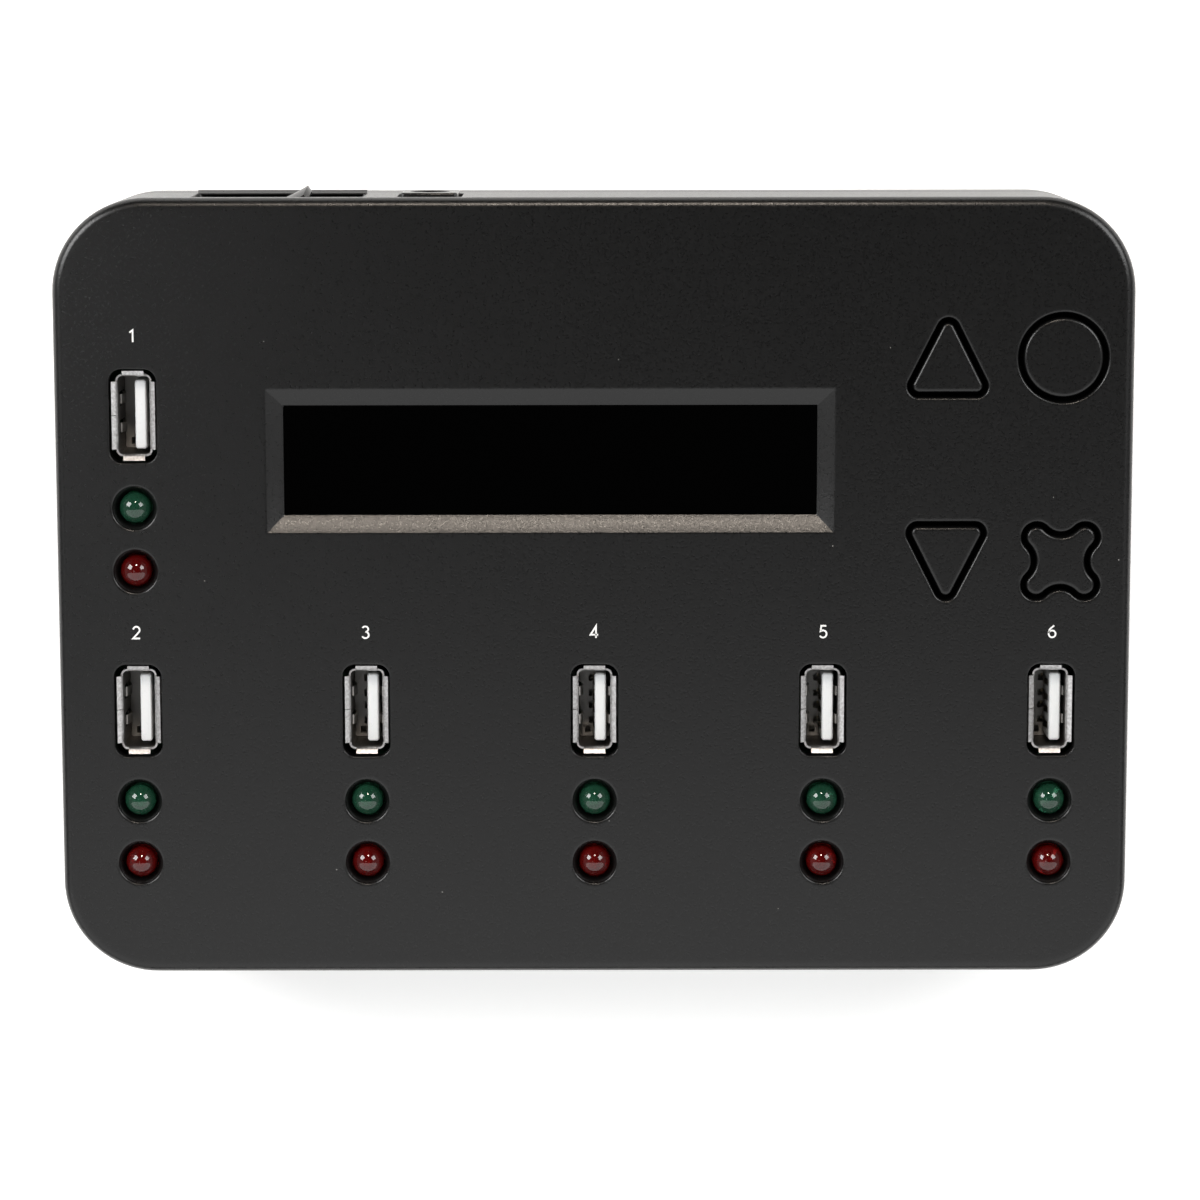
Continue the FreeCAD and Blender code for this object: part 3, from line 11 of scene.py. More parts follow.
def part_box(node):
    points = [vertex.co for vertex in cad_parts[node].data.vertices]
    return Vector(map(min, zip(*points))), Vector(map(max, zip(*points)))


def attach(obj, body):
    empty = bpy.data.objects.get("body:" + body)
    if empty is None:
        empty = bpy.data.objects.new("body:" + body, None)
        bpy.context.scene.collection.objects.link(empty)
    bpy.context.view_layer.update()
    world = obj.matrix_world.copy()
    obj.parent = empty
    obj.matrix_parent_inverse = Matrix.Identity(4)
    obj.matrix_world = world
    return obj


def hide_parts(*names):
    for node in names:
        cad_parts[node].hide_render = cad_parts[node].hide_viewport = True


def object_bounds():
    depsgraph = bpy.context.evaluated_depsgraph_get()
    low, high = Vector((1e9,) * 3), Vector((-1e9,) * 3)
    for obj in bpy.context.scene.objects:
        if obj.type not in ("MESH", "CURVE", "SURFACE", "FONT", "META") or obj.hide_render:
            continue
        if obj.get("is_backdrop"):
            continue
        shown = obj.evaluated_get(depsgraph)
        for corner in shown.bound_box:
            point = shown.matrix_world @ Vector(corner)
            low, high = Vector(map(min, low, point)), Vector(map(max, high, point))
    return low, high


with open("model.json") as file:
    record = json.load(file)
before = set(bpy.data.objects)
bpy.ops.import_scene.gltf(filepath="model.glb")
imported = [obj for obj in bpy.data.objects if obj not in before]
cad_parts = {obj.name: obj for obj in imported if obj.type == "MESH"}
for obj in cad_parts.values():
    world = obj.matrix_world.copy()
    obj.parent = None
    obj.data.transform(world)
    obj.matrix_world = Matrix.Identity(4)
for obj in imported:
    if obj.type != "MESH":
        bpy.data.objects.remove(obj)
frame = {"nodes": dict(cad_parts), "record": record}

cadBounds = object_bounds()
mm = 0.001  # sizes below are in millimetres, Blender's are in metres


def cadBox(node):
    # The box of a CAD piece, in millimetres.
    low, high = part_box(node)
    return np.array(low) / mm, np.array(high) / mm


def cadMiddle(node):
    low, high = cadBox(node)
    return (low + high) / 2


# Outlines, each an array of points on a plane, anticlockwise


def unit(angle):
    # Points at these angles on a circle of radius 1.
    return np.stack([np.cos(angle), np.sin(angle)], -1)


def roundOutline(centres, radius, steps=8):
    # An arc of one radius about each centre, from the normal of the side before to that of the side after.
    centres = np.array(centres, float)
    run = np.roll(centres, -1, axis=0) - centres
    after = np.arctan2(-run[:, 0], run[:, 1])
    before = np.roll(after, 1)
    sweep = (after - before) % (2 * np.pi)
    angle = before[:, None] + sweep[:, None] * np.linspace(0, 1, steps + 1)
    return (centres[:, None] + radius * unit(angle)).reshape(-1, 2)


def boxOutline(width, length, corner, steps=4):
    # A rectangle with quarter-circle corners.
    x, y = width / 2 - corner, length / 2 - corner
    return roundOutline([(-x, -y), (x, -y), (x, y), (-x, y)], corner, steps)


def circleOutline(radius, steps=48):
    # A radius turned through equal steps.
    return radius * unit(np.arange(steps) * 2 * np.pi / steps)


# Surfaces, each a pair: points in space and faces that count them


def onLevel(outline, z):
    # The outline laid flat at one height.
    return np.column_stack([outline, np.full(len(outline), float(z))])


def onWall(outline, y):
    # The outline's second axis is up, and it stands across y.
    return np.column_stack([outline[:, 0], np.full(len(outline), float(y)), outline[:, 1]])


def gridCells(rows, columns, across):
    # The numbers of the four points round each cell of a grid whose last column may meet the first.
    i, j = np.meshgrid(np.arange(rows - 1), np.arange(across), indexing="ij")
    n = (j + 1) % columns
    return i * columns + j, i * columns + n, (i + 1) * columns + n, (i + 1) * columns + j


def loft(loops, skip=()):
    # Closed outlines of equally many points, one after another, joined by four-sided faces.
    grid = np.array(loops)
    rows, columns = grid.shape[:2]
    faces = np.stack(gridCells(rows, columns, columns), -1)
    kept = np.ones((rows - 1, columns), bool)
    for row, column in skip:
        kept[row, column] = False
    return grid.reshape(-1, 3), faces[kept]


def fill(outer, level, holes=(), lift=onLevel):
    # A flat face between an outline and the outlines of its holes.
    rings = [onLevel(ring, 0) for ring in [outer, *holes]]
    faces = np.array(tessellate_polygon([ring.tolist() for ring in rings]))
    return lift(np.concatenate(rings)[:, :2], level), faces


def stacked(outline, rows, middle, lift=onLevel):
    # An outline laid once for each row of (growth, level).
    return [lift(outline(grow) + middle, level) for grow, level in rows]


def boxes(rows, middle, steps, lift=onLevel):
    # A rounded box laid once for each row of (width, length, corner, level).
    return [lift(boxOutline(w, l, corner, steps) + middle, level) for w, l, corner, level in rows]


def closed(loops, lift=onLevel):
    # Outlines joined one after another, with the first and the last one filled.
    plane, across = ([0, 1], 2) if lift is onLevel else ([0, 2], 1)
    ends = [fill(loop[:, plane], loop[0, across], lift=lift) for loop in (loops[0], loops[-1])]
    return [loft(loops), *ends]


def turned(profile, x, y, steps=48):
    # A profile of radius and height, turned about an upright axis.
    radius, height = np.array(profile, float).T
    ring = circleOutline(1, steps)
    return loft([onLevel(ring * r + (x, y), z) for r, z in zip(radius, height)])


def thickSheet(inner, outer, keep, wrap):
    # Sheet metal: the same grid of points on both faces, kept cell by cell, with an edge wherever a
    # kept cell ends.
    rows, columns = inner.shape[:2]
    a, b, c, d = gridCells(rows, columns, keep.shape[1])
    far = rows * columns
    faces = [np.stack([a, b, c, d], -1)[keep], np.stack([d, c, b, a], -1)[keep] + far]
    padded = np.pad(keep, 1)
    if wrap:
        padded[1:-1, 0], padded[1:-1, -1] = keep[:, -1], keep[:, 0]
    sides = [((0, 1), a, b), ((1, 2), b, c), ((2, 1), c, d), ((1, 0), d, a)]
    for (down, across), p, q in sides:
        neighbour = padded[down : down + rows - 1, across : across + keep.shape[1]]
        ends = keep & ~neighbour
        faces.append(np.stack([q, p, p + far, q + far], -1)[ends])
    return np.concatenate([inner.reshape(-1, 3), outer.reshape(-1, 3)]), np.concatenate(faces)


def edgeRound(radius, level, steps=4):
    # Rows of (growth, height) that round the rim of a hole in a level face.
    angle = np.linspace(0, np.pi / 2, steps + 1)
    return list(zip(radius * (1 - np.sin(angle)), level - radius * (1 - np.cos(angle))))


def edgeCrown(radius, level, steps=4):
    # Rows of (growth, height) that round the top edge of a block, from its side to its top.
    angle = np.linspace(0, np.pi / 2, steps + 1)
    return list(zip(-radius * (1 - np.cos(angle)), level - radius * (1 - np.sin(angle))))


def addObject(name, data):
    # An object in the scene, left at the origin.
    added = bpy.data.objects.new(name, data)
    bpy.context.scene.collection.objects.link(added)
    return added


def makePiece(name, surfaces, slot, nodes=(), body="case", material=None, sharp=32):
    # Surfaces welded into one mesh, which rides on a body and may stand for some nodes.
    points, faces, start = [], [], 0
    for spots, cells in surfaces:
        points.append(spots)
        faces += (np.asarray(cells) + start).tolist()
        start += len(spots)
    mesh = bpy.data.meshes.new(name)
    mesh.from_pydata(np.concatenate(points) * mm, [], faces)
    work = bmesh.new()
    work.from_mesh(mesh)
    bmesh.ops.remove_doubles(work, verts=work.verts, dist=0.0004 * mm)
    bmesh.ops.recalc_face_normals(work, faces=work.faces)
    work.to_mesh(mesh)
    work.free()
    mesh.shade_smooth()
    mesh.set_sharp_from_angle(angle=math.radians(sharp))
    mesh.materials.append(material or finishes[slot])
    piece = addObject(name, mesh)
    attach(piece, body)
    if nodes:
        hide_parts(*nodes)
    return piece


# Materials


def linear(hexCode):
    # sRGB hex to the linear colour that a shader takes.
    part = np.array([int(hexCode[i : i + 2], 16) / 255 for i in (1, 3, 5)])
    part = np.where(part <= 0.04045, part / 12.92, ((part + 0.055) / 1.055) ** 2.4)
    return (*part.tolist(), 1.0)


def addNode(tree, kind, inputs=None, **settings):
    # A node with its settings, and its inputs given as values or linked to other nodes' outputs.
    node = tree.nodes.new(kind)
    for key, value in settings.items():
        setattr(node, key, value)
    for key, value in (inputs or {}).items():
        if isinstance(value, bpy.types.NodeSocket):
            tree.links.new(value, node.inputs[key])
        else:
            node.inputs[key].default_value = value
    return node


def newMaterial(name, **constants):
    # A Principled shader with its constants set on its own sockets.
    material = bpy.data.materials.new(name)
    material.use_nodes = True
    tree = material.node_tree
    shader = next(node for node in tree.nodes if node.type == "BSDF_PRINCIPLED")
    for key, value in constants.items():
        shader.inputs[key.replace("_", " ")].default_value = value
    place = addNode(tree, "ShaderNodeTexCoord").outputs["Object"]
    return material, tree, shader, place


def perSize(size):
    return 1 / (size * mm)  # texture scale for a feature of so many millimetres


def clouded(tree, place, tint, pale, size, detail):
    # Soft clouds, so many millimetres wide, and the colour that they shift between two tones.
    span = {"Vector": place, "Scale": perSize(size), "Detail": detail}
    cloud = addNode(tree, "ShaderNodeTexNoise", span).outputs["Fac"]
    tones = {"Factor": cloud, "A": linear(tint), "B": linear(pale)}
    return cloud, addNode(tree, "ShaderNodeMix", tones, data_type="RGBA").outputs["Result"]


def paintedShadeBelow(tree, place, colour, depth):
    # Painted shade: the colour turns to a darker one, (low level, high level, hex), down inside a socket,
    # where little light reaches.
    height = addNode(tree, "ShaderNodeSeparateXYZ", {"Vector": place}).outputs["Z"]
    low, high, tint = depth
    span = {"Value": height, "From Min": low * mm, "From Max": high * mm}
    share = addNode(tree, "ShaderNodeMapRange", span)
    tones = {"Factor": share.outputs["Result"], "A": linear(tint), "B": colour}
    return addNode(tree, "ShaderNodeMix", tones, data_type="RGBA").outputs["Result"]


def finish(tree, shader, colour, pattern, gloss, strength, relief):
    # The colour, and a pattern that shows in the roughness, between the two of gloss, and as relief.
    tree.links.new(colour, shader.inputs["Base Color"])
    span = {"Value": pattern, "From Min": 0.3, "From Max": 0.7, "To Min": gloss[0], "To Max": gloss[1]}
    rough = addNode(tree, "ShaderNodeMapRange", span)
    tree.links.new(rough.outputs["Result"], shader.inputs["Roughness"])
    raised = {"Height": pattern, "Strength": strength, "Distance": relief * mm}
    bump = addNode(tree, "ShaderNodeBump", raised)
    tree.links.new(bump.outputs["Normal"], shader.inputs["Normal"])


meltCloud = 26.0
dust = {"spread": 6.0, "tint": "#8d8b88"}  # a cell of so many millimetres holds one speck


def grainedPlastic(name, tint, pale, rough, grain, relief, speck=0.0, depth=None):
    # Moulded plastic off a spark-eroded tool: a pebbled satin skin that scatters highlights, with faint
    # clouds of tone where the melt met, and, when asked, a few specks of settled dust.
    material, tree, shader, place = newMaterial(name, IOR=1.47)
    skin = {"Vector": place, "Scale": perSize(grain), "Detail": 2.0, "Roughness": 0.6}
    pebble = addNode(tree, "ShaderNodeTexNoise", skin).outputs["Fac"]
    colour = clouded(tree, place, tint, pale, meltCloud, 3.0)[1]
    if speck:
        cells = addNode(tree, "ShaderNodeTexVoronoi", {"Vector": place, "Scale": perSize(dust["spread"])})
        reach = {0: cells.outputs["Distance"], 1: speck / dust["spread"]}
        near = addNode(tree, "ShaderNodeMath", reach, operation="LESS_THAN")
        tones = {"Factor": near.outputs["Value"], "A": colour, "B": linear(dust["tint"])}
        colour = addNode(tree, "ShaderNodeMix", tones, data_type="RGBA").outputs["Result"]
    # painted shade: darker down inside a socket, when asked
    if depth:
        colour = paintedShadeBelow(tree, place, colour, depth)
    finish(tree, shader, colour, pebble, (rough - 0.04, rough + 0.05), 0.6, relief)
    return material


rolling = (0.05, 0.05, 2.5)  # size of the rolling lines along x, y and z


def sheetMetal(name, tint, pale, rough, streak=rolling, mottle=3.0, depth=None):
    # Rolled and plated sheet: fine rolling lines along the strip stretch the highlights, and the plating
    # varies in tone over so many millimetres.
    material, tree, shader, place = newMaterial(name, Metallic=1.0)
    sizes = {"Vector": place, "Scale": [perSize(size) for size in streak]}
    stretch = addNode(tree, "ShaderNodeMapping", sizes)
    rolled = {"Vector": stretch.outputs["Vector"], "Scale": 1.0, "Detail": 2.0}
    lines = addNode(tree, "ShaderNodeTexNoise", rolled).outputs["Fac"]
    colour = clouded(tree, place, tint, pale, mottle, 2.0)[1]
    # painted shade: darker down inside a socket, when asked
    if depth:
        colour = paintedShadeBelow(tree, place, colour, depth)
    finish(tree, shader, colour, lines, (rough * 0.75, rough * 1.3), 0.4, 0.002)
    return material


def clearPlastic(name, tint, pale, rough, clear, ior, flow):
    # Cast or moulded clear plastic: tinted through and glossy, with slow ripples left by the flow.
    material, tree, shader, place = newMaterial(name, IOR=ior, Transmission_Weight=clear)
    ripple, colour = clouded(tree, place, tint, pale, flow, 1.0)
    tree.links.new(colour, shader.inputs["Base Color"])
    span = {"Value": ripple, "To Min": rough * 0.7, "To Max": rough * 1.4}
    gloss = addNode(tree, "ShaderNodeMapRange", span)
    tree.links.new(gloss.outputs["Result"], shader.inputs["Roughness"])
    return material


def wovenLaminate(name, tint, pale, thread):
    # Glass-fibre laminate under solder mask: the weave shows faintly through a glossy green coat.
    material, tree, shader, place = newMaterial(name, Roughness=0.32, IOR=1.52, Coat_Weight=0.4)
    # Each wave repeats every second thread, over one and under the next.
    yarn = {"Vector": place, "Scale": perSize(thread) / 6.28, "Distortion": 0.6}
    waves = {}
    for count, direction in enumerate("XY"):
        waves[count] = addNode(tree, "ShaderNodeTexWave", yarn, bands_direction=direction).outputs["Fac"]
    weave = addNode(tree, "ShaderNodeMath", waves, operation="MULTIPLY").outputs["Value"]
    tones = {"Factor": weave, "A": linear(tint), "B": linear(pale)}
    mix = addNode(tree, "ShaderNodeMix", tones, data_type="RGBA")
    tree.links.new(mix.outputs["Result"], shader.inputs["Base Color"])
    bump = addNode(tree, "ShaderNodeBump", {"Height": weave, "Strength": 0.2, "Distance": 0.01 * mm})
    tree.links.new(bump.outputs["Normal"], shader.inputs["Normal"])
    return material


socketLow, socketHigh = cadBox("usb_insulator_1")[0][2], cadBox("usb_shell_1")[1][2]
# Painted shade down inside the sockets, between two levels: (low, high, painted tone down there)
paintedBaseShade = (socketLow + 3.6, socketLow + 9.0, "#a8a6a3")
# painted shade: the shell's inner walls darken below the lips
paintedSteelShade = (socketHigh - 2.2, socketHigh - 0.6, "#7a7774")

# Each finish by its material slot: its name, a darker and a paler tone, its roughness and its sizes in
# millimetres, and what the eye gets
moulded = {  # grain, its relief, specks, painted shade
    "case_plastic": ("sparkErodedAbs", "#060606", "#090909", 0.3, 0.36, 0.038, 0.09),  # pebbled satin
    "key_plastic": ("sparkErodedKeyAbs", "#060606", "#090909", 0.3, 0.36, 0.032),  # a little smoother
    "rocker_plastic": ("polishedNylon", "#0f0f10", "#151515", 0.24, 0.8, 0.006),  # smooth, soft gloss
    "jack_plastic": ("glassFilledNylon", "#101010", "#161615", 0.24, 0.25, 0.008),  # faint fibre grain
    "port_plastic": ("whitePolyester", "#dee1e2", "#e8eaeb", 0.3, 0.5, 0.004, 0, paintedBaseShade),  # clean white, with painted shade down in the socket
    "spacer_nylon": ("naturalNylon", "#cfcbbd", "#dad6c8", 0.38, 0.4, 0.006),  # milky and waxy
    "foot_rubber": ("mouldedRubber", "#121212", "#1a1a1a", 0.72, 0.22, 0.03),  # dull black
    "chip_plastic": ("mouldedChipEpoxy", "#141415", "#1b1b1c", 0.55, 0.12, 0.02),  # matt and sandy
    "switch_plastic": ("blackSwitchNylon", "#131313", "#191919", 0.4, 0.3, 0.01),  # plain satin
    "header_plastic": ("blackHeaderNylon", "#141414", "#1b1b1a", 0.42, 0.3, 0.01),  # plain satin
}
plated = {  # streaks along the three axes, mottling, painted shade
    "port_steel": ("nickelPlatedSteel", "#928e8c", "#ffffff", 0.4, rolling, 0.45, paintedSteelShade),  # mottled, with painted shade down inside the shell
    "contact_gold": ("goldPlatedBronze", "#6e6350", "#857a64", 0.22),  # a muted gold gleam
    "jack_pin_metal": ("turnedNickelPin", "#bdb9b0", "#d2cec6", 0.18, (2.0, 0.05, 0.05)),  # bright, ringed
    "lead_steel": ("tinnedWire", "#a9a8a6", "#c0bfbc", 0.3),  # soft silver
    "screw_steel": ("blackenedSteel", "#232323", "#3a3936", 0.36, (0.3, 0.3, 0.3)),  # dark, cloudy gleam
    "display_frame_metal": ("blackenedDisplayFrame", "#161616", "#242424", 0.42),  # near black
    "capacitor_can": ("drawnAluminium", "#8d8f92", "#a9abad", 0.28, (0.08, 0.08, 4.0)),  # drawn upright
    "crystal_can": ("drawnCrystalCan", "#a3a19c", "#bcbab4", 0.25),  # smooth silver
    "terminal_brass": ("tinnedBrass", "#a79b7c", "#bfb493", 0.3),  # pale brass
}
clear = {  # how clear, IOR, ripples
    "window_acrylic": ("smokedAcrylic", "#140e0e", "#1a1212", 0.03, 1.0, 1.49, 30.0),  # looks black
    "display_glass": ("displayGlass", "#20261c", "#2a3124", 0.05, 0.5, 1.52, 20.0),  # dim olive
    "light_guide_acrylic": ("milkyAcrylic", "#d8d8d2", "#e6e6e0", 0.4, 0.2, 1.49, 8.0),  # frosted
    "lamp_green": ("greenTintedEpoxy", "#317455", "#3b8263", 0.028, 0.85, 1.58, 1.2),  # glossy, deep tint
    "lamp_red": ("redTintedEpoxy", "#8e100e", "#9e1614", 0.028, 0.85, 1.58, 1.2),  # glossy, deep tint
}
finishes = {slot: grainedPlastic(*values) for slot, values in moulded.items()}
finishes |= {slot: sheetMetal(*values) for slot, values in plated.items()}
finishes |= {slot: clearPlastic(*values) for slot, values in clear.items()}
finishes["board_laminate"] = wovenLaminate("glassFibreLaminate", "#0d3a1c", "#12502a", 0.6)  # glossy green
printInk = grainedPlastic("whitePrintInk", "#d9d9d7", "#e9e9e7", 0.5, 0.15, 0.004)  # chalky white
springSteel = sheetMetal("springSteel", "#c9c6c2", "#dad7d3", 0.4)  # plain bright strip

for part in frame["record"]["subparts"]:
    mesh = frame["nodes"][part["node"]].data
    mesh.materials.clear()
    mesh.materials.append(finishes[part["material_slot"]])
print("materials made")

# Case: two shells that meet at a shadow gap

shellLow, shellHigh = cadBox("top_shell")
case = {
    "width": shellHigh[0] - shellLow[0],
    "depth": -2 * shellLow[1],
    "panel": shellHigh[2],
    "split": shellLow[2],
    "under": cadBox("bottom_shell")[0][2],
    "corner": 15.0,
    "edge": 1.7,
    "baseEdge": 1.2,
    "wall": 2.4,
    "skin": 2.5,
    "floor": 2.7,  # just over the screws' seats, which keeps the inner face in one piece
    "gapDeep": 0.5,
    "gapTall": 0.4,
    "lip": 1.5,
    "cornerSteps": 20,
    "rim": 0.24,  # small round on the rims of the rear openings
    "band": 0.3,  # flat band round each rim that keeps the panel's shading flat
}
ceiling = case["panel"] - case["skin"]
rearWall = case["depth"] / 2

portNodes = [f"usb_shell_{number}" for number in range(1, 7)]
portSpots = [cadMiddle(node) for node in portNodes]
lampNodes = {colour: [f"{colour}_led_{number}" for number in range(1, 7)] for colour in ("green", "red")}
keySpots = {key: cadMiddle(f"key_{key}") for key in ("up", "ok", "down", "cancel")}

portHole = {"width": 7.6, "length": 15.0, "corner": 2.0}
panelRound = {"port": 0.2, "key": 0.4, "lamp": 0.45}  # rim radius of each kind of hole
lampDish = {"top": 3.38, "bottom": 2.65, "slope": 0.5, "bulge": 1.1}
keyPad = {
    "across": 11.1,
    "along": 11.0,
    "corner": 1.0,
    "roundRadius": 6.3,
    "crossSpan": 10.9,
    "crossLobe": 1.6,
    "crossScoop": 3.76,
    "groove": 0.85,
    "edge": 0.5,
    "rim": 1.45,  # rim under the panel, beyond the cap
    "rimThick": 1.2,
    "rimDrop": 0.2,
    "rimChannel": 0.8,  # V-shaped channel round the rim, which keeps the gap dark
    "stem": 2.2,
}
window = {
    "width": 85.0,
    "height": 17.6,
    "bevel": 2.66,
    "deep": 1.7,
    "corner": 0.12,
    "gap": 0.15,  # round the pane
    "chamfer": 0.08,
}
recess = {
    "wide": 27.3,
    "tall": 13.0,
    "deep": 3.0,
    "taper": 2.0,
    "back": 2.0,
    "corner": 0.6,
    "ledgeTall": 1.4,
    "ledgeProud": 0.5,
}
switchBody = {
    "length": 14.4,
    "tall": 9.6,
    "deep": 12.5,
    "corner": 0.4,
    "bezelCorner": 0.9,
    "bezelRound": 0.5,
    "landWide": 0.65,  # flat land between the rounded edge and the well
    "around": 0.9,  # from the rocker's end to the well's wall
    "wellDeep": 2.6,  # below the pivot
}
jack = {
    "gap": 0.6,
    "corner": 0.6,
    "base": 0.3,  # radius of its lower corners
    "edge": 0.3,
    "axis": 6.0,
    "barrel": 3.15,
    "barrelDeep": 9.5,
}
switchLow, switchHigh = cadBox("power_switch_body")
switchMiddle = (switchLow + switchHigh) / 2
jackLow, jackHigh = cadBox("dc_jack_body")


def caseOutline(inset):
    # The case's rounded rectangle, moved inwards.
    width, depth = case["width"] - 2 * inset, case["depth"] - 2 * inset
    return boxOutline(width, depth, case["corner"] - inset, case["cornerSteps"])


def triangleOutline(grow, sign):
    # Three rounded corners, the single one towards the rear when the sign is 1.
    side = keyPad["across"] / 2 - keyPad["corner"]
    end = keyPad["along"] / 2 - keyPad["corner"]
    centres = [(-sign * side, -sign * end), (sign * side, -sign * end), (0, sign * end)]
    return roundOutline(centres, keyPad["corner"] + grow, 12)


def turnedBy(angle):
    # The matrix that turns rows of points anticlockwise.
    return np.array([[math.cos(angle), math.sin(angle)], [-math.sin(angle), math.cos(angle)]])


def crossOutline(grow):
    # Four round arms joined by four hollow sides, all arcs that meet smoothly.
    lobe, scoop = keyPad["crossLobe"], keyPad["crossScoop"]
    arm = keyPad["crossSpan"] / 2 - lobe
    reach = arm + math.sqrt((lobe + scoop) ** 2 - arm**2)
    lean = math.atan2(arm, reach - arm)
    armAngle = np.linspace(-lean, math.pi / 2 + lean, 18)
    sideAngle = np.linspace(1.5 * math.pi + lean, 1.5 * math.pi - lean, 14)[1:-1]
    lobes, hollows = (lobe + grow) * unit(armAngle), (scoop - grow) * unit(sideAngle)
    quarter = np.concatenate([(arm, arm) + lobes, (0, reach) + hollows])
    return np.concatenate([quarter @ turnedBy(count * math.pi / 2) for count in range(4)])


keyOutlines = {
    "up": lambda grow: triangleOutline(grow, 1),
    "ok": lambda grow: circleOutline(keyPad["roundRadius"] + grow, 96),
    "down": lambda grow: triangleOutline(grow, -1),
    "cancel": crossOutline,
}


def panelHoles():
    # Each hole is its outline, its middle and the rows of (growth, height) that lead down to the ceiling.
    band, panel = case["band"], case["panel"]
    top = {}
    for kind, radius in panelRound.items():
        top[kind] = [(radius + band, panel)] + edgeRound(radius, panel, 6)
    wide, long, corner = portHole["width"], portHole["length"], portHole["corner"]
    holes = []
    for x, y, z in portSpots:
        outline = lambda grow: boxOutline(wide + 2 * grow, long + 2 * grow, corner + grow, 6)
        holes.append((outline, (x, y), top["port"] + [(0, ceiling)]))
    share = np.linspace(0, 1, 9)[1:]
    drop = panelRound["lamp"] + lampDish["slope"] * share + lampDish["bulge"] * share**2
    bowl = top["lamp"] + list(zip((lampDish["bottom"] - lampDish["top"]) * share, panel - drop))
    for node in lampNodes["green"] + lampNodes["red"]:
        x, y, z = cadMiddle(node)
        outline = lambda grow: circleOutline(lampDish["top"] + grow, 64)
        holes.append((outline, (x, y), bowl + [(bowl[-1][0], ceiling)]))
    for key, (x, y, z) in keySpots.items():
        outline = lambda grow, key=key: keyOutlines[key](keyPad["groove"] + grow)
        holes.append((outline, (x, y), top["key"] + [(0, ceiling)]))
    paneWide, paneTall, slope = window["width"], window["height"], window["bevel"]
    outline = lambda grow: boxOutline(paneWide + 2 * grow, paneTall + 2 * grow, window["corner"], 2)
    rows = [(slope + 0.05 + band, panel), (slope + 0.05, panel), (slope - 0.04, panel - 0.035)]
    rows += [(0.0, panel - window["deep"]), (0.0, ceiling)]
    x, y, z = cadMiddle("display_window")
    holes.append((outline, (x, y), rows))
    return holes


def makeUpperShell():
    # The case's outline goes round its upper edge, down to the split and up inside. The panel is flat
    # between it and the rims of its holes.
    rim, panel, split = case["rim"], case["panel"], case["split"]
    edge, wall = case["edge"], case["wall"]
    surfaces, tops, bottoms = [], [], []
    for outline, middle, rows in panelHoles():
        loops = stacked(outline, rows, middle)
        surfaces.append(loft(loops))
        tops.append(loops[0][:, :2])
        bottoms.append(loops[-1][:, :2])
    surfaces.append(fill(caseOutline(edge + 0.5), panel, tops))
    surfaces.append(fill(caseOutline(wall), ceiling, bottoms))

    rows = [(edge + 0.5, panel)] + edgeRound(edge, panel, 14)
    wallRow = len(rows)
    rows += [(0, panel - edge - 0.22), (0, split + 0.35), (0, split + 0.1), (0.1, split)]
    rows += [(wall / 2, split), (wall / 2, split + case["lip"] + 0.1), (wall, split + case["lip"] + 0.1)]
    innerRow = len(rows) - 1
    rows += [(wall, ceiling)]
    rearColumn = 3 * (case["cornerSteps"] + 1) - 1
    loops = stacked(caseOutline, rows, 0)
    surfaces.append(loft(loops, skip=[(wallRow, rearColumn), (innerRow, rearColumn)]))

    # Rear wall: its flat middle between the two corners, outside and inside, with the openings
    half = case["width"] / 2 - case["corner"]
    middle = switchMiddle[[0, 2]]
    wide, tall, corner = recess["wide"], recess["tall"], recess["corner"]
    face = rearWall - recess["deep"]
    back = face - recess["back"]
    rimRows = [(rim + 0.1, rearWall)] + edgeRound(rim, rearWall)
    recessRows = [(wide + 2 * grow, tall + 2 * grow, corner + grow, y) for grow, y in rimRows]
    recessRows.append((wide - 2 * recess["taper"], tall, corner, face))
    recessRows += [(switchBody["length"] + 0.3, switchBody["tall"] + 0.3, 0.3, y) for y in (face, back)]
    blockLow = middle[1] - tall / 2 - recess["back"]
    blockWide, blockTall = wide + 2 * recess["back"], ceiling - 0.2 - blockLow
    blockRows = [(blockWide, blockTall, 0.3, y) for y in (back, rearWall - wall)]
    recessLoops = boxes(recessRows, middle, 5, onWall)
    recessLoops += boxes(blockRows, (middle[0], blockLow + blockTall / 2), 5, onWall)
    surfaces.append(loft(recessLoops))

    jackWide = jackHigh[0] - jackLow[0] + 2 * jack["gap"]
    jackTall = jackHigh[2] - jackLow[2] + jack["gap"]
    jackSpot = ((jackLow[0] + jackHigh[0]) / 2, jackLow[2] + jackTall / 2)
    outline = lambda grow: boxOutline(jackWide + 2 * grow, jackTall + 2 * grow, 0.4 + grow, 4)
    jackLoops = stacked(outline, rimRows + [(0, rearWall - wall)], jackSpot, onWall)
    surfaces.append(loft(jackLoops))
    for row, y, end in ((wallRow, rearWall, 0), (innerRow, rearWall - wall, -1)):
        high, low = rows[row][1], rows[row + 1][1]
        panel = np.array([(half, high), (-half, high), (-half, low), (half, low)])
        openings = [loops[end][:, [0, 2]] for loops in (recessLoops, jackLoops)]
        surfaces.append(fill(panel, y, openings, onWall))

    ledgeLow = middle[1] - recess["tall"] / 2 - recess["ledgeTall"]
    ledge = []
    front = rearWall + recess["ledgeProud"]
    rows = [(0, rearWall - 1.0), (0, rearWall), (0.5, rearWall + 0.18), (recess["ledgeTall"] - 0.3, front)]
    for lower, y in rows:
        tall = recess["ledgeTall"] - lower
        outline = boxOutline(recess["wide"], tall, 0.12, 4)
        ledge.append(onWall(outline + (middle[0], ledgeLow + tall / 2), y))
    surfaces += closed(ledge, onWall) + upperPosts()
    makePiece("upperShell", surfaces, "case_plastic", ["top_shell"])


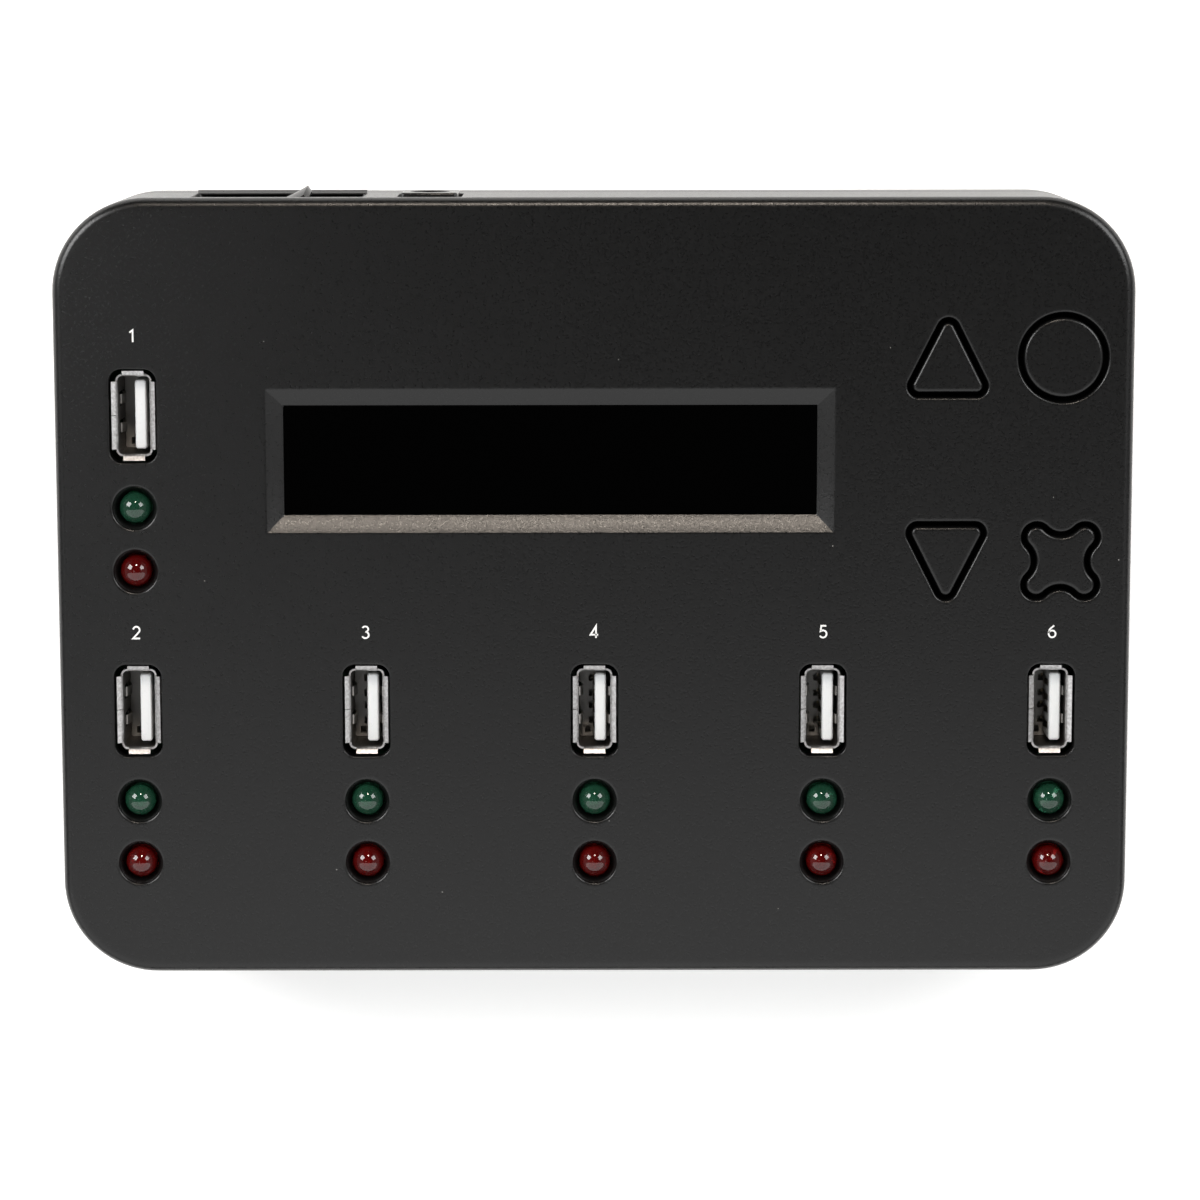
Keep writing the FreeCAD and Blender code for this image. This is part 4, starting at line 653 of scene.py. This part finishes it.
foot = {"radius": 5.0, "edge": 0.6, "hollow": [(0, 0.35), (2.6, 0.33), (3.3, 0.12), (3.6, 0.0)]}
screw = {"head": 2.95, "bore": 1.6, "seat": 2.6, "rim": 0.15}  # recess of a head, and how deep it is
posts = {
    "insetX": 8.25,
    "insetY": 8.0,
    "caseRadius": 3.4,
    "caseBore": 1.5,
    "boardRadius": 2.6,
    "boardBore": 1.25,
    "displayRadius": 1.9,
    "displayBore": 1.15,
    "boardSpots": [(-55, -52), (55, -52), (-27.5, -5), (27.5, -5), (-70, 49), (66, 49)],
    "displayInset": 2.8,
}


def corners(x, y):
    # A rectangle's corners about its middle.
    return [(side * x, end * y) for side in (-1, 1) for end in (-1, 1)]


caseSpots = corners(case["width"] / 2 - posts["insetX"], case["depth"] / 2 - posts["insetY"])
footHigh = cadBox("rubber_feet")[1]
footSpots = corners(footHigh[0] - foot["radius"], footHigh[1] - foot["radius"])


def upperPosts():
    # Screw posts that hang from the panel, each a tube closed at both ends.
    boardTop = cadBox("main_board")[1][2]
    displayLow, displayHigh = cadBox("lcd_board")
    reach = (displayHigh - displayLow) / 2 - posts["displayInset"]
    centre = (displayLow + displayHigh) / 2
    displaySpots = [(centre[0] + x, centre[1] + y) for x, y in corners(reach[0], reach[1])]
    kinds = [
        (caseSpots, posts["caseRadius"], posts["caseBore"], case["split"] + case["lip"] + 0.1),
        (posts["boardSpots"], posts["boardRadius"], posts["boardBore"], boardTop),
        (displaySpots, posts["displayRadius"], posts["displayBore"], displayHigh[2]),
    ]
    tubes = []
    for spots, outside, bore, low in kinds:
        top = ceiling + 0.5
        profile = [(bore, low + 0.3), (bore, top), (outside, top), (outside, low), (bore + 0.2, low)]
        tubes += [turned(profile + profile[:1], x, y, 24) for x, y in spots]
    return tubes


def makeLowerShell():
    # The case's outline goes from the underside up over the tongue and down inside to the floor.
    under, split, wall = case["under"], case["split"], case["wall"]
    edge = case["baseEdge"]
    neck = split - case["gapTall"]
    rows = [(edge + 0.4, under)] + [(inset, 2 * under - z) for inset, z in edgeRound(edge, under, 8)]
    inside, deep = wall / 2 + 0.1, case["gapDeep"]
    tongue = split + case["lip"]
    rows += [(0, under + edge + 0.3), (0, neck - 0.35), (0, neck - 0.1), (0.1, neck), (deep, neck)]
    rows += [(deep, split), (inside, split), (inside, tongue - 0.2), (inside + 0.2, tongue)]
    floorTop = under + case["floor"]
    rows += [(wall, tongue), (wall, floorTop + 0.4), (wall + 0.4, floorTop)]
    surfaces = [loft(stacked(caseOutline, rows, 0))]

    head, bore, seat = screw["head"], screw["bore"], under + screw["seat"]
    holeRows = [(head + screw["rim"] + case["band"], under)]
    holeRows += [(head + grow, 2 * under - z) for grow, z in edgeRound(screw["rim"], under)]
    holeRows += [(head, seat), (bore, seat), (bore, floorTop)]
    outside, inner = [], []
    for x, y in caseSpots:
        loops = stacked(circleOutline, holeRows, (x, y))
        surfaces.append(loft(loops))
        outside.append(loops[0][:, :2])
        inner.append(loops[-1][:, :2])
        inside, outer, low = bore + 0.05, posts["caseRadius"], floorTop - 0.05
        post = [(inside, low), (inside, tongue), (outer, tongue), (outer, low), (inside, low)]
        surfaces.append(turned(post, x, y))
    radius = foot["radius"]
    seatRows = [(radius + 0.5, under), (radius + 0.1, under), (radius, under + 0.1), (radius, footHigh[2])]
    for x, y in footSpots:
        loops = stacked(circleOutline, seatRows, (x, y))
        surfaces += [loft(loops), fill(loops[-1][:, :2], footHigh[2])]
        outside.append(loops[0][:, :2])
    surfaces.append(fill(caseOutline(rows[0][0]), under, outside))
    surfaces.append(fill(caseOutline(rows[-1][0]), floorTop, inner))
    makePiece("lowerShell", surfaces, "case_plastic", ["bottom_shell"])


def makeFeet():
    # Turned pads with a rounded rim and a shallow hollow underneath.
    radius, edge = foot["radius"], foot["edge"]
    rim = [(radius - inset, -z) for inset, z in edgeRound(edge, 0, 5)]
    profile = foot["hollow"] + rim + [(radius, footHigh[2]), (0, footHigh[2])]
    surfaces = [turned(profile, x, y) for x, y in footSpots]
    makePiece("rubberFeet", surfaces, "foot_rubber", ["rubber_feet"])


makeUpperShell()
makeLowerShell()
makeFeet()
print("case made")

# Keys: flush caps with a rim that stays under the panel


def makeKey(key):
    # The key's outline shrinks from the rim under the panel to the cap, over a round stem.
    outline = keyOutlines[key]
    x, y, z = keySpots[key]
    low, high = cadBox(f"key_{key}")
    rimTop = ceiling - keyPad["rimDrop"]
    rim, groove, edge, stem = keyPad["rim"], keyPad["groove"], keyPad["edge"], keyPad["stem"]
    rows = [(rim, rimTop - keyPad["rimThick"]), (rim, rimTop), (groove + 0.1, rimTop)]
    rows += [(groove / 2, rimTop - keyPad["rimChannel"]), (0, rimTop), (0, high[2] - 0.8)]
    rows += edgeCrown(edge, high[2]) + [(-edge - 0.25, high[2])]
    surfaces = closed(stacked(outline, rows, (x, y)))
    profile = [(0, low[2]), (stem, low[2]), (stem, rimTop - 0.5), (0, rimTop - 0.5)]
    surfaces.append(turned(profile, x, y, 32))
    makePiece(f"{key}Key", surfaces, "key_plastic", [f"key_{key}"], f"{key}_key")


for key in keySpots:
    makeKey(key)
print("keys made")

# Display window


def makeWindow():
    # A wide rim under the panel, then a box with a small chamfer round its top.
    low, high = cadBox("display_window")
    x, y, z = (low + high) / 2
    gap, cut = window["gap"], window["chamfer"]
    wide, tall = window["width"] - 2 * gap, window["height"] - 2 * gap
    rimWide, rimTall = high[0] - low[0], high[1] - low[1]
    rows = [(rimWide, rimTall, low[2]), (rimWide, rimTall, ceiling), (wide, tall, ceiling)]
    rows += [(wide, tall, high[2] - cut), (wide - 2 * cut, tall - 2 * cut, high[2])]
    rows = [(across, along, window["corner"], level) for across, along, level in rows]
    surfaces = closed(boxes(rows, (x, y), 2))
    makePiece("displayWindow", surfaces, "window_acrylic", ["display_window"])


makeWindow()

# Ports: metal shell with turned-out lips, white tongue, gold contacts

port = {
    "width": 5.12,
    "length": 12.5,
    "corner": 0.7,
    "sheet": 0.3,
    "bend": 0.35,  # inside radius of the bend to a lip
    "lean": 58.0,  # lips off the upright, degrees
    "lipRun": 0.68,  # straight part of a lip
    "lipTrim": 0.14,  # lips end short of the corners
    "seam": 0.06,
    "windowWide": 2.3,
    "windowTop": 2.6,  # windows below the bend
    "windowTall": 6.5,
    "windowSpread": 2.3,
    "fingerWide": 1.5,
    "fingerThick": 0.22,
    "fingerBow": 0.8,
    "legWide": 1.6,
    "tongueThick": 1.84,
    "tongueWide": 11.1,
    "tongueShift": 0.93,
    "tongueCorner": 0.3,
    "grooveWide": 1.25,
    "grooveDeep": 0.3,
    "contactWide": 1.0,
    "contactThick": 0.2,
    "contactRows": (-3.5, -1.0, 1.0, 3.5),
    "pitWide": 0.95,
    "pitLong": 1.2,
    "pitDeep": 2.2,
    "keyPit": (-1.1, -5.1),
    "baseGap": 0.08,
    "baseTall": 3.5,
}


def portShellGrid():
    # Columns round the section: points on the inner face, the way out, and which cells carry a lip or a
    # window. Rows up the height: how far out each face stands, and how high.
    corner, trim = port["corner"], port["lipTrim"]
    x, y = port["width"] / 2 - corner, port["length"] / 2 - corner
    side = port["windowSpread"] + port["windowWide"] / 2
    mid = port["windowSpread"] - port["windowWide"] / 2
    longStops = np.array([-y + trim, -side, -mid, -port["seam"], port["seam"], mid, side, y - trim])
    shortStops = np.array([-x + trim, x - trim])
    spots, ways, lips, windows = [], [], [], []
    layout = [((x, -y), shortStops, -90), ((x, y), longStops, 0)]
    layout += [((-x, y), shortStops, 90), ((-x, -y), longStops, 180)]
    for centre, stops, heading in layout:
        out = unit(np.radians(heading))
        along = np.array([-out[1], out[0]])
        flat = (port["length"] if stops is shortStops else port["width"]) / 2
        spots.append(out * flat + stops[:, None] * along)
        ways.append(np.repeat(out[None], len(stops), 0))
        cell = np.arange(len(stops) + 6)
        seam = (heading == 180) & (cell == 3)  # where the sheet's ends meet
        lips.append((cell < len(stops) - 1) & ~seam)
        windows.append(np.isin(cell, (1, 5)) & (stops is longStops))
        arc = unit(np.radians(heading + np.linspace(0, 90, 6)))
        spots.append(np.array(centre) + corner * arc)
        ways.append(arc)
    return np.concatenate(spots), np.concatenate(ways), np.concatenate(lips), np.concatenate(windows)


def portShellSheet(low, high):
    # The section rises straight, bends out, by r(1 - cos a) for a rise of r sin a, and ends straight.
    spots, ways, lips, windows = portShellGrid()
    sheet, bend = port["sheet"], port["bend"]
    lean = math.radians(port["lean"])
    angle = np.linspace(0, lean, 6)
    run = port["lipRun"]
    root = high - (bend + sheet) * math.sin(lean) - run * math.cos(lean)
    windowHigh = root - port["windowTop"]
    windowLow = windowHigh - port["windowTall"]
    grids = []
    for start, radius in ((0, bend + sheet), (sheet, bend)):  # inner face, then outer face
        out, rise = start + radius * (1 - np.cos(angle)), radius * np.sin(angle)
        out = np.append(out, out[-1] + run * math.sin(lean))
        rise = np.append(rise, rise[-1] + run * math.cos(lean))
        rows = [(start, low), (start, windowLow), (start, windowHigh)] + list(zip(out, root + rise))
        grids.append(np.array([onLevel(spots + away * ways, z) for away, z in rows]))
    keep = np.ones((len(rows) - 1, len(spots)), bool)
    keep[3:, ~lips] = False
    keep[1, windows] = False
    return thickSheet(grids[0], grids[1], keep, True), windowLow, windowHigh


def strip(path, width, thick, middle):
    # A flat strip along a path of points in space: its width lies along y, its thickness along x.
    half = np.array([0, width / 2, 0])
    inner = np.stack([path - half, path + half], 1) + middle
    outer = inner + (thick, 0, 0)
    keep = np.ones((len(path) - 1, 1), bool)
    return thickSheet(inner, outer, keep, False)


springs = []  # the fingers of every port, made as one piece


def makePort(number, node):
    # The shell with its legs and its springs, which bow inwards by a sine along their length.
    low, high = cadBox(node)
    x, y, z = portSpots[number - 1]
    insulator = f"usb_insulator_{number}"
    bodyLow, tipLevel = (corner[2] for corner in cadBox(insulator))
    (points, faces), windowLow, windowHigh = portShellSheet(bodyLow, high[2])
    surfaces = [(points + (x, y, 0), faces)]
    share = np.linspace(0, 1, 12)
    bow = -port["fingerBow"] * np.sin(np.pi * share * 0.86) ** 1.3 + 0.12 * (1 - share)
    rise = windowLow - 0.3 + share * (windowHigh - windowLow - 0.5)
    for side in (-1, 1):
        path = np.column_stack([side * (port["width"] / 2 + bow), np.zeros(12), rise])
        for end in (-1, 1):
            middle = (x, y + end * port["windowSpread"], 0)
            springs.append(strip(path, port["fingerWide"], side * port["fingerThick"], middle))
    leg = boxOutline(port["legWide"], port["sheet"], 0.05, 1)
    for end in (-1, 1):
        spot = (x, y + end * (port["length"] + port["sheet"]) / 2)
        rows = [(0.6, low[2]), (1, low[2] + 0.5), (1, bodyLow + 1)]
        surfaces += closed([onLevel(leg * scale + spot, level) for scale, level in rows])
    makePiece(f"portShell{number}", surfaces, "port_steel", [node])

    # Base block and the tongue, grooved for the contacts and bevelled at its tip
    gap, baseTop = port["baseGap"], bodyLow + port["baseTall"]
    block = boxOutline(port["width"] - 2 * gap, port["length"] - 2 * gap, 0.3, 3) + (x, y)
    surfaces = [loft([onLevel(block, bodyLow), onLevel(block, baseTop)]), fill(block, bodyLow)]
    pits = []
    beside = port["tongueShift"] - port["tongueThick"] / 2 - port["pitWide"] / 2
    for across, along in [(beside, row) for row in port["contactRows"]] + [port["keyPit"]]:
        pits.append(boxOutline(port["pitWide"], port["pitLong"], 0.1, 2) + (x + across, y + along))
        surfaces.append(loft([onLevel(pits[-1], level) for level in (baseTop, baseTop - port["pitDeep"])]))
        surfaces.append(fill(pits[-1], baseTop - port["pitDeep"]))
    surfaces.append(fill(block, baseTop, pits))
    half, wide = port["tongueThick"] / 2, port["tongueWide"] / 2
    groove, cut = port["grooveWide"] / 2, port["tongueCorner"]

    def section(deep):
        # The tongue's outline, with the grooves so deep in its left side.
        sides = [(half - cut, -wide), (half, cut - wide), (half, wide - cut)]
        sides += [(half - cut, wide), (cut - half, wide), (-half, wide - cut)]
        for row in reversed(port["contactRows"]):
            sides += [(-half, row + groove), (deep - half, row + groove), (deep - half, row - groove)]
            sides.append((-half, row - groove))
        return np.array(sides + [(-half, cut - wide), (cut - half, -wide)])

    middle = (x + port["tongueShift"], y)
    deep = port["grooveDeep"]
    tip = [(deep, (1, 1), tipLevel - baseTop + 0.5), (deep, (1, 1), 2.2), (0.01, (1, 1), 1.6)]
    tip += [(0.01, (1, 1), 0.45), (0.01, (0.95, 0.985), 0.15), (0.01, (0.78, 0.95), 0)]
    loops = [onLevel(section(deep) * scale + middle, tipLevel - below) for deep, scale, below in tip]
    surfaces += closed(loops)
    makePiece(f"portTongue{number}", surfaces, "port_plastic", [insulator], sharp=25)


def makeContacts():
    # Spring strips that lie in the grooves, bow out towards the plug and dive back at the tip.
    low, high = cadBox("usb_contacts")
    share = np.linspace(0, 1, 24)
    baseTop = cadBox("usb_insulator_1")[0][2] + port["baseTall"]
    surfaces = []
    for x, y, z in portSpots:
        face = x + port["tongueShift"] - port["tongueThick"] / 2
        rise = baseTop - 2.0 + share * (high[2] - baseTop + 1.4)
        bow = np.interp(share, [0, 0.3, 0.5, 0.62, 0.8, 1], [-0.05, -0.18, -0.38, -0.36, 0.02, 0.18])
        path = np.column_stack([face + bow, np.zeros(24), rise])
        tail = np.array([(face - 0.2, 0, low[2]), (face - 0.2, 0, baseTop - 2.1)])
        wide, thick = port["contactWide"], port["contactThick"]
        for row in port["contactRows"]:
            middle = (0, y + row, 0)
            surfaces.append(strip(path, wide, thick, middle))
            surfaces.append(strip(tail, wide * 0.7, 0.25, middle))
    makePiece("portContacts", surfaces, "contact_gold", ["usb_contacts"])


for number, node in enumerate(portNodes, start=1):
    makePort(number, node)
makePiece("portSprings", springs, "port_steel", material=springSteel)
makeContacts()
print("ports made")

# Lamps: tinted epoxy domes with a lead frame cast in

lamp = {
    "radius": 2.5,
    "flange": 2.9,
    "flangeTall": 1.0,
    "cupRadius": 0.75,
    "cupLevel": 3.4,
    "cupShift": -0.25,
    "lead": 1.27,  # leads off the middle
    "post": 0.5,
}


def makeLamp(colour, number, node):
    # A flange, a cylinder and half a sphere, turned about the lamp's axis.
    low, high = cadBox(node)
    x, y, z = (low + high) / 2
    radius, flange = lamp["radius"], lamp["flange"]
    spring = high[2] - radius  # where the dome starts
    shoulder = low[2] + lamp["flangeTall"]
    angle = np.linspace(0, math.pi / 2, 20)
    dome = list(zip(radius * np.cos(angle), spring + radius * np.sin(angle)))
    profile = [(0, low[2]), (flange - 0.1, low[2]), (flange, low[2] + 0.1), (flange, shoulder - 0.1)]
    profile += [(flange - 0.1, shoulder), (radius, shoulder)] + dome
    surfaces = [turned(profile, x, y, 72)]
    makePiece(f"{colour}Lamp{number}", surfaces, f"lamp_{colour}", [node], sharp=40)


def makeLeadFrames():
    # Inside each lamp: a post with a reflector cup on the left lead and a plain post on the right one.
    surfaces = []
    for node in lampNodes["green"] + lampNodes["red"]:
        low, high = cadBox(node)
        x, y, z = (low + high) / 2
        level = low[2] + lamp["cupLevel"]
        cup = lamp["cupRadius"]
        profile = [(0, level), (0.35, level), (cup, level + 0.55), (cup + 0.12, level + 0.5)]
        profile += [(0.45, level - 0.4), (0, level - 0.4)]
        surfaces.append(turned(profile, x + lamp["cupShift"], y, 24))
        post = boxOutline(lamp["post"], lamp["post"], 0.05, 1)
        for middle, top in ((-lamp["lead"], level + 0.1), (lamp["lead"], level + 0.5)):
            rows = [(middle, low[2] + 0.15), (middle * 0.8, top)]
            surfaces += closed([onLevel(post + (x + shift, y), z) for shift, z in rows])
    makePiece("lampLeadFrames", surfaces, "lead_steel")


for colour, nodes in lampNodes.items():
    for number, node in enumerate(nodes, start=1):
        makeLamp(colour, number, node)
makeLeadFrames()
print("lamps made")

# Power switch: a framed well in the rear recess and a rocker that tips about an upright pivot

rocker = {
    "half": 6.05,
    "crest": 5.62,
    "shoulder": 3.15,
    "valley": 2.9,
    "rise": 1.31,
    "bend": 1.6,  # the rise goes with this power of the way out
    "footHalf": 4.9,
    "footRise": 0.2,
    "keelHalf": 2.8,
    "keelDrop": 1.6,
    "tall": 7.6,
    "tilt": 12.0,
    "pivotInset": 3.72,
    "crown": 1.2,
    "narrowing": 0.13,
}


def makeSwitchBody():
    # Boxes one after another, from the rear over the rounded frame and down into the well.
    face = rearWall - recess["deep"]
    x, z = switchMiddle[[0, 2]]
    wide, tall = switchHigh[0] - switchLow[0], switchHigh[2] - switchLow[2]
    openWide, openTall = 2 * (rocker["half"] + switchBody["around"]), rocker["tall"] + 0.6
    front = switchHigh[1]
    well = rearWall - rocker["pivotInset"] - switchBody["wellDeep"]
    corner, bezel, land = switchBody["corner"], switchBody["bezelCorner"], 2 * switchBody["landWide"]
    rows = [(switchBody["length"], switchBody["tall"], corner, face - switchBody["deep"])]
    rows += [(switchBody["length"], switchBody["tall"], corner, face), (wide, tall, bezel, face)]
    for grow, level in edgeCrown(switchBody["bezelRound"], front, 6):
        rows.append((wide + 2 * grow, tall + 2 * grow, bezel + grow, level))
    rows += [(wide - land, tall - land, corner, front), (openWide + 0.3, openTall + 0.3, corner, front)]
    rows += [(openWide, openTall, 0.25, front - 0.15), (openWide, openTall, 0.25, well)]
    surfaces = closed(boxes(rows, (x, z), 5, onWall), onWall)
    makePiece("switchFrame", surfaces, "rocker_plastic", ["power_switch_body"])


def makeRocker():
    # The front runs in a hollow between its two ends, which are rounded a little.
    share = np.linspace(1, -1, 41)
    hollow = rocker["valley"] + rocker["rise"] * np.abs(share) ** rocker["bend"]
    front = np.column_stack([share * rocker["crest"], hollow])
    front = np.vstack([(rocker["half"], rocker["shoulder"]), front, (-rocker["half"], rocker["shoulder"])])
    foot = [(-rocker["footHalf"], rocker["footRise"]), (-rocker["keelHalf"], -rocker["keelDrop"])]
    foot += [(rocker["keelHalf"], -rocker["keelDrop"]), (rocker["footHalf"], rocker["footRise"])]
    section = np.concatenate([front, foot])
    turn = turnedBy(math.radians(rocker["tilt"]))
    pivot = (switchMiddle[0], rearWall - rocker["pivotInset"])
    half = rocker["tall"] / 2
    loops = []
    for share in np.sin(np.linspace(-np.pi / 2, np.pi / 2, 23)):
        # full in the middle of its height and lower towards both ends: front = full - crown * share^2
        lowered = section * (1 - rocker["narrowing"] * share**2, 1)
        lowered[: len(front), 1] -= rocker["crown"] * share**2
        loops.append(onLevel(lowered @ turn + pivot, switchMiddle[2] + share * half))
    surfaces = closed(loops)
    axle = half + 0.7
    profile = [(0, -axle), (0.9, -axle), (0.9, axle), (0, axle)]
    surfaces.append(turned([(r, switchMiddle[2] + level) for r, level in profile], *pivot, 24))
    makePiece("powerRocker", surfaces, "rocker_plastic", ["power_rocker"], "rocker", sharp=28)


def makeJack():
    # A block with rounded upper edges and a round barrel sunk in its face.
    x, z = (jackLow[0] + jackHigh[0]) / 2, jackLow[2]
    half, tall, front = (jackHigh[0] - jackLow[0]) / 2, jackHigh[2] - jackLow[2], jackHigh[1]
    barrel, back = jack["barrel"], front - jack["barrelDeep"]

    def outline(grow):
        # Its lower corners have the base's radius and its upper ones a larger one.
        halves = []
        for corner in (jack["base"], jack["corner"]):
            side, top = half - corner, tall - corner
            box = [(-side, corner), (side, corner), (side, top), (-side, top)]
            halves.append(roundOutline(box, corner + grow, 5))
        count = len(halves[0]) // 2
        return np.concatenate([halves[0][:count], halves[1][count:]])

    rows = [(0, jackLow[1])] + edgeCrown(jack["edge"], front) + [(-0.5, front)]
    loops = stacked(outline, rows, (x, z), onWall)
    mouth = [(barrel + 0.5, front), (barrel + 0.15, front), (barrel, front - 0.15), (barrel, back)]
    rings = [onWall(circleOutline(radius, 64) + (x, z + jack["axis"]), level) for radius, level in mouth]
    surfaces = [loft(loops), loft(rings), fill(loops[0][:, [0, 2]], jackLow[1], lift=onWall)]
    surfaces.append(fill(loops[-1][:, [0, 2]], front, [rings[0][:, [0, 2]]], onWall))
    surfaces.append(fill(rings[-1][:, [0, 2]], back, lift=onWall))
    makePiece("supplyJack", surfaces, "jack_plastic", ["dc_jack_body"])


makeSwitchBody()
makeRocker()
makeJack()
print("rear made")

# Printed numerals behind the ports

numeral = {"height": 1.9, "behind": 12.75, "stroke": 0.27, "thick": 0.02}


def arc(x, y, across, along, start, stop, steps=14):
    # Points on an ellipse, between two angles in degrees.
    angle = np.radians(np.linspace(start, stop, steps))
    return (np.array([x, y]) + unit(angle) * (across, along)).tolist()


digits = [
    [(0.06, 0.8), (0.32, 1.0), (0.32, 0.0)],
    arc(0.3, 0.72, 0.27, 0.28, 170, -40) + [(0.02, 0.0), (0.6, 0.0)],
    arc(0.28, 0.77, 0.25, 0.23, 155, -70) + arc(0.28, 0.27, 0.29, 0.27, 75, -155),
    [(0.64, 0.27), (0.0, 0.27), (0.46, 1.0), (0.46, 0.0)],
    [(0.54, 1.0), (0.12, 1.0), (0.07, 0.55)] + arc(0.27, 0.31, 0.3, 0.31, 125, -150),
    [(0.47, 1.0)] + arc(0.62, 0.3, 0.6, 0.7, 140, 180, 8) + arc(0.31, 0.29, 0.29, 0.29, 180, 530, 24),
]


def makeNumeral(number, x, y):
    # A pen of even width along the digit's line: each point moves out along the mean of its two normals.
    line = np.array(digits[number - 1]) * numeral["height"]
    line -= (line.min(0) + line.max(0)) / 2
    run = np.diff(line, axis=0)
    run /= np.linalg.norm(run, axis=1)[:, None]
    before, after = np.vstack([run[:1], run]), np.vstack([run, run[-1:]])
    lean = before + after
    lean /= np.sum(lean * before, axis=1)[:, None]
    normal = np.column_stack([-lean[:, 1], lean[:, 0]]) * numeral["stroke"] / 2
    sides = np.stack([line + normal, line - normal], 1) + (x, y + numeral["behind"])
    levels = (case["panel"] - numeral["thick"], case["panel"] + numeral["thick"])
    low, high = (np.concatenate([sides, np.full((len(line), 2, 1), level)], 2) for level in levels)
    surface = thickSheet(low, high, np.ones((len(line) - 1, 1), bool), False)
    makePiece(f"numeral{number}", [surface], "case_plastic", material=printInk)


for number, (x, y, z) in enumerate(portSpots, start=1):
    makeNumeral(number, x, y)
print("numerals made")

# Studio: white table, soft boxes at both sides behind the case, two small lamps, a broad dim wall in
# front, and the camera

studio = {
    "target": (0.0, 0.0, 0.03),
    "softBoxes": [
        # name, direction, distance, size, radiance, colour
        ("leftSoftBox", (-0.71, 0.41, 0.57), 0.9, (0.43, 0.46), 10.2, "#ffffff"),
        ("rightSoftBox", (0.65, 0.41, 0.62), 0.9, (0.44, 0.46), 6.8, "#ffffff"),
        ("rearLamp", (0.0, 0.72, 0.69), 1.0, (0.16, 0.16), 40, "#fff1e2"),
        ("topLamp", (-0.28, 0.0, 0.96), 1.0, (0.07, 0.07), 12, "#ffffff"),
    ],
    "screenHigh": (-0.13, 0.66),  # bright screen from overhead to low in front: y and z of its ends
    "screenLow": (-1.3, 0.33),
    "screenWide": 3.0,
    "screenGlow": 1.02,
    "floorSize": 8.0,
    "tableGlow": 0.33,
    "roomGlow": 0.02,
    "wallGlow": 0.24,  # the tent's side walls
}
view = {
    "tilt": 0.1469,  # towards the rear, radians
    "distance": 0.6335,
    "aim": (0.00103, -0.00153, 0.030),
    "lens": 119.0,
    "roll": -0.0013,
}


def addLight(name, place, towards, size, glow, tint="#ffffff", shape="RECTANGLE"):
    light = bpy.data.lights.new(name, "AREA")
    light.shape = shape
    light.size, light.size_y = size
    light.energy = glow * math.pi * size[0] * size[1]
    light.color = linear(tint)[:3]
    holder = addObject(name, light)
    holder.location = place
    holder.rotation_euler = (Vector(towards) - Vector(place)).to_track_quat("-Z", "Y").to_euler()
    holder.visible_camera = False


def makeStudio():
    # Area lights aimed at the object, an opal table, and a room that is brighter at its sides.
    target = Vector(studio["target"])
    for name, way, distance, size, glow, tint in studio["softBoxes"]:
        addLight(name, target + Vector(way).normalized() * distance, target, size, glow, tint)
    high, low = np.array(studio["screenHigh"]), np.array(studio["screenLow"])
    middle, run = (high + low) / 2, high - low
    face = middle + (run[1], -run[0])  # square to the screen, towards the table
    size = (studio["screenWide"], float(np.linalg.norm(run)))
    addLight("frontScreen", (0, *middle), (0, *face), size, studio["screenGlow"], shape="ELLIPSE")

    half = studio["floorSize"] / 2
    mesh = bpy.data.meshes.new("table")
    mesh.from_pydata([(*spot, 0) for spot in corners(half, half)], [], [(0, 2, 3, 1)])
    # Opal acrylic, matt and lit from below: it glows a little, with faint clouds of tone.
    glow = studio["tableGlow"]
    opal, tree, shader, place = newMaterial("opalTable", Roughness=0.85, Emission_Strength=glow)
    shader.inputs["Emission Color"].default_value = (1, 1, 1, 1)
    colour = clouded(tree, place, "#f0f0ef", "#f6f6f5", 1.5, 3.0)[1]
    tree.links.new(colour, shader.inputs["Base Color"])
    mesh.materials.append(opal)
    addObject("table", mesh)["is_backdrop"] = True

    world = bpy.data.worlds.new("studio")
    world.use_nodes = True
    bpy.context.scene.world = world
    tree = world.node_tree
    background = next(node for node in tree.nodes if node.type == "BACKGROUND")
    path = addNode(tree, "ShaderNodeLightPath")
    way = addNode(tree, "ShaderNodeTexCoord").outputs["Generated"]
    aside = addNode(tree, "ShaderNodeSeparateXYZ", {"Vector": way}).outputs["X"]
    aside = addNode(tree, "ShaderNodeMath", {0: aside}, operation="ABSOLUTE").outputs["Value"]
    walls = {"Value": aside, "From Min": 0.4, "From Max": 0.8}
    walls |= {"To Min": studio["roomGlow"], "To Max": studio["wallGlow"]}
    room = addNode(tree, "ShaderNodeMapRange", walls).outputs["Result"]
    tones = {"Factor": path.outputs["Is Camera Ray"], "A": room, "B": (0.9, 0.9, 0.9, 1)}
    glow = addNode(tree, "ShaderNodeMix", tones, data_type="RGBA")
    tree.links.new(glow.outputs["Result"], background.inputs["Color"])


def makeCamera():
    # It looks down from behind the upright, at the tilt and distance fitted to the photograph.
    lens = bpy.data.cameras.new("camera")
    lens.lens = view["lens"]
    lens.sensor_width = 36
    lens.clip_start = 0.01
    camera = addObject("camera", lens)
    aim = Vector(view["aim"])
    camera.location = aim + view["distance"] * Vector((0, math.sin(view["tilt"]), math.cos(view["tilt"])))
    camera.rotation_euler = (-view["tilt"], 0, view["roll"])
    bpy.context.scene.camera = camera


makeStudio()
makeCamera()
bpy.context.scene.view_settings.view_transform = "Standard"
print("studio made")

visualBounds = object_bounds()
boxes = {"cad": cadBounds, "visual": visualBounds}
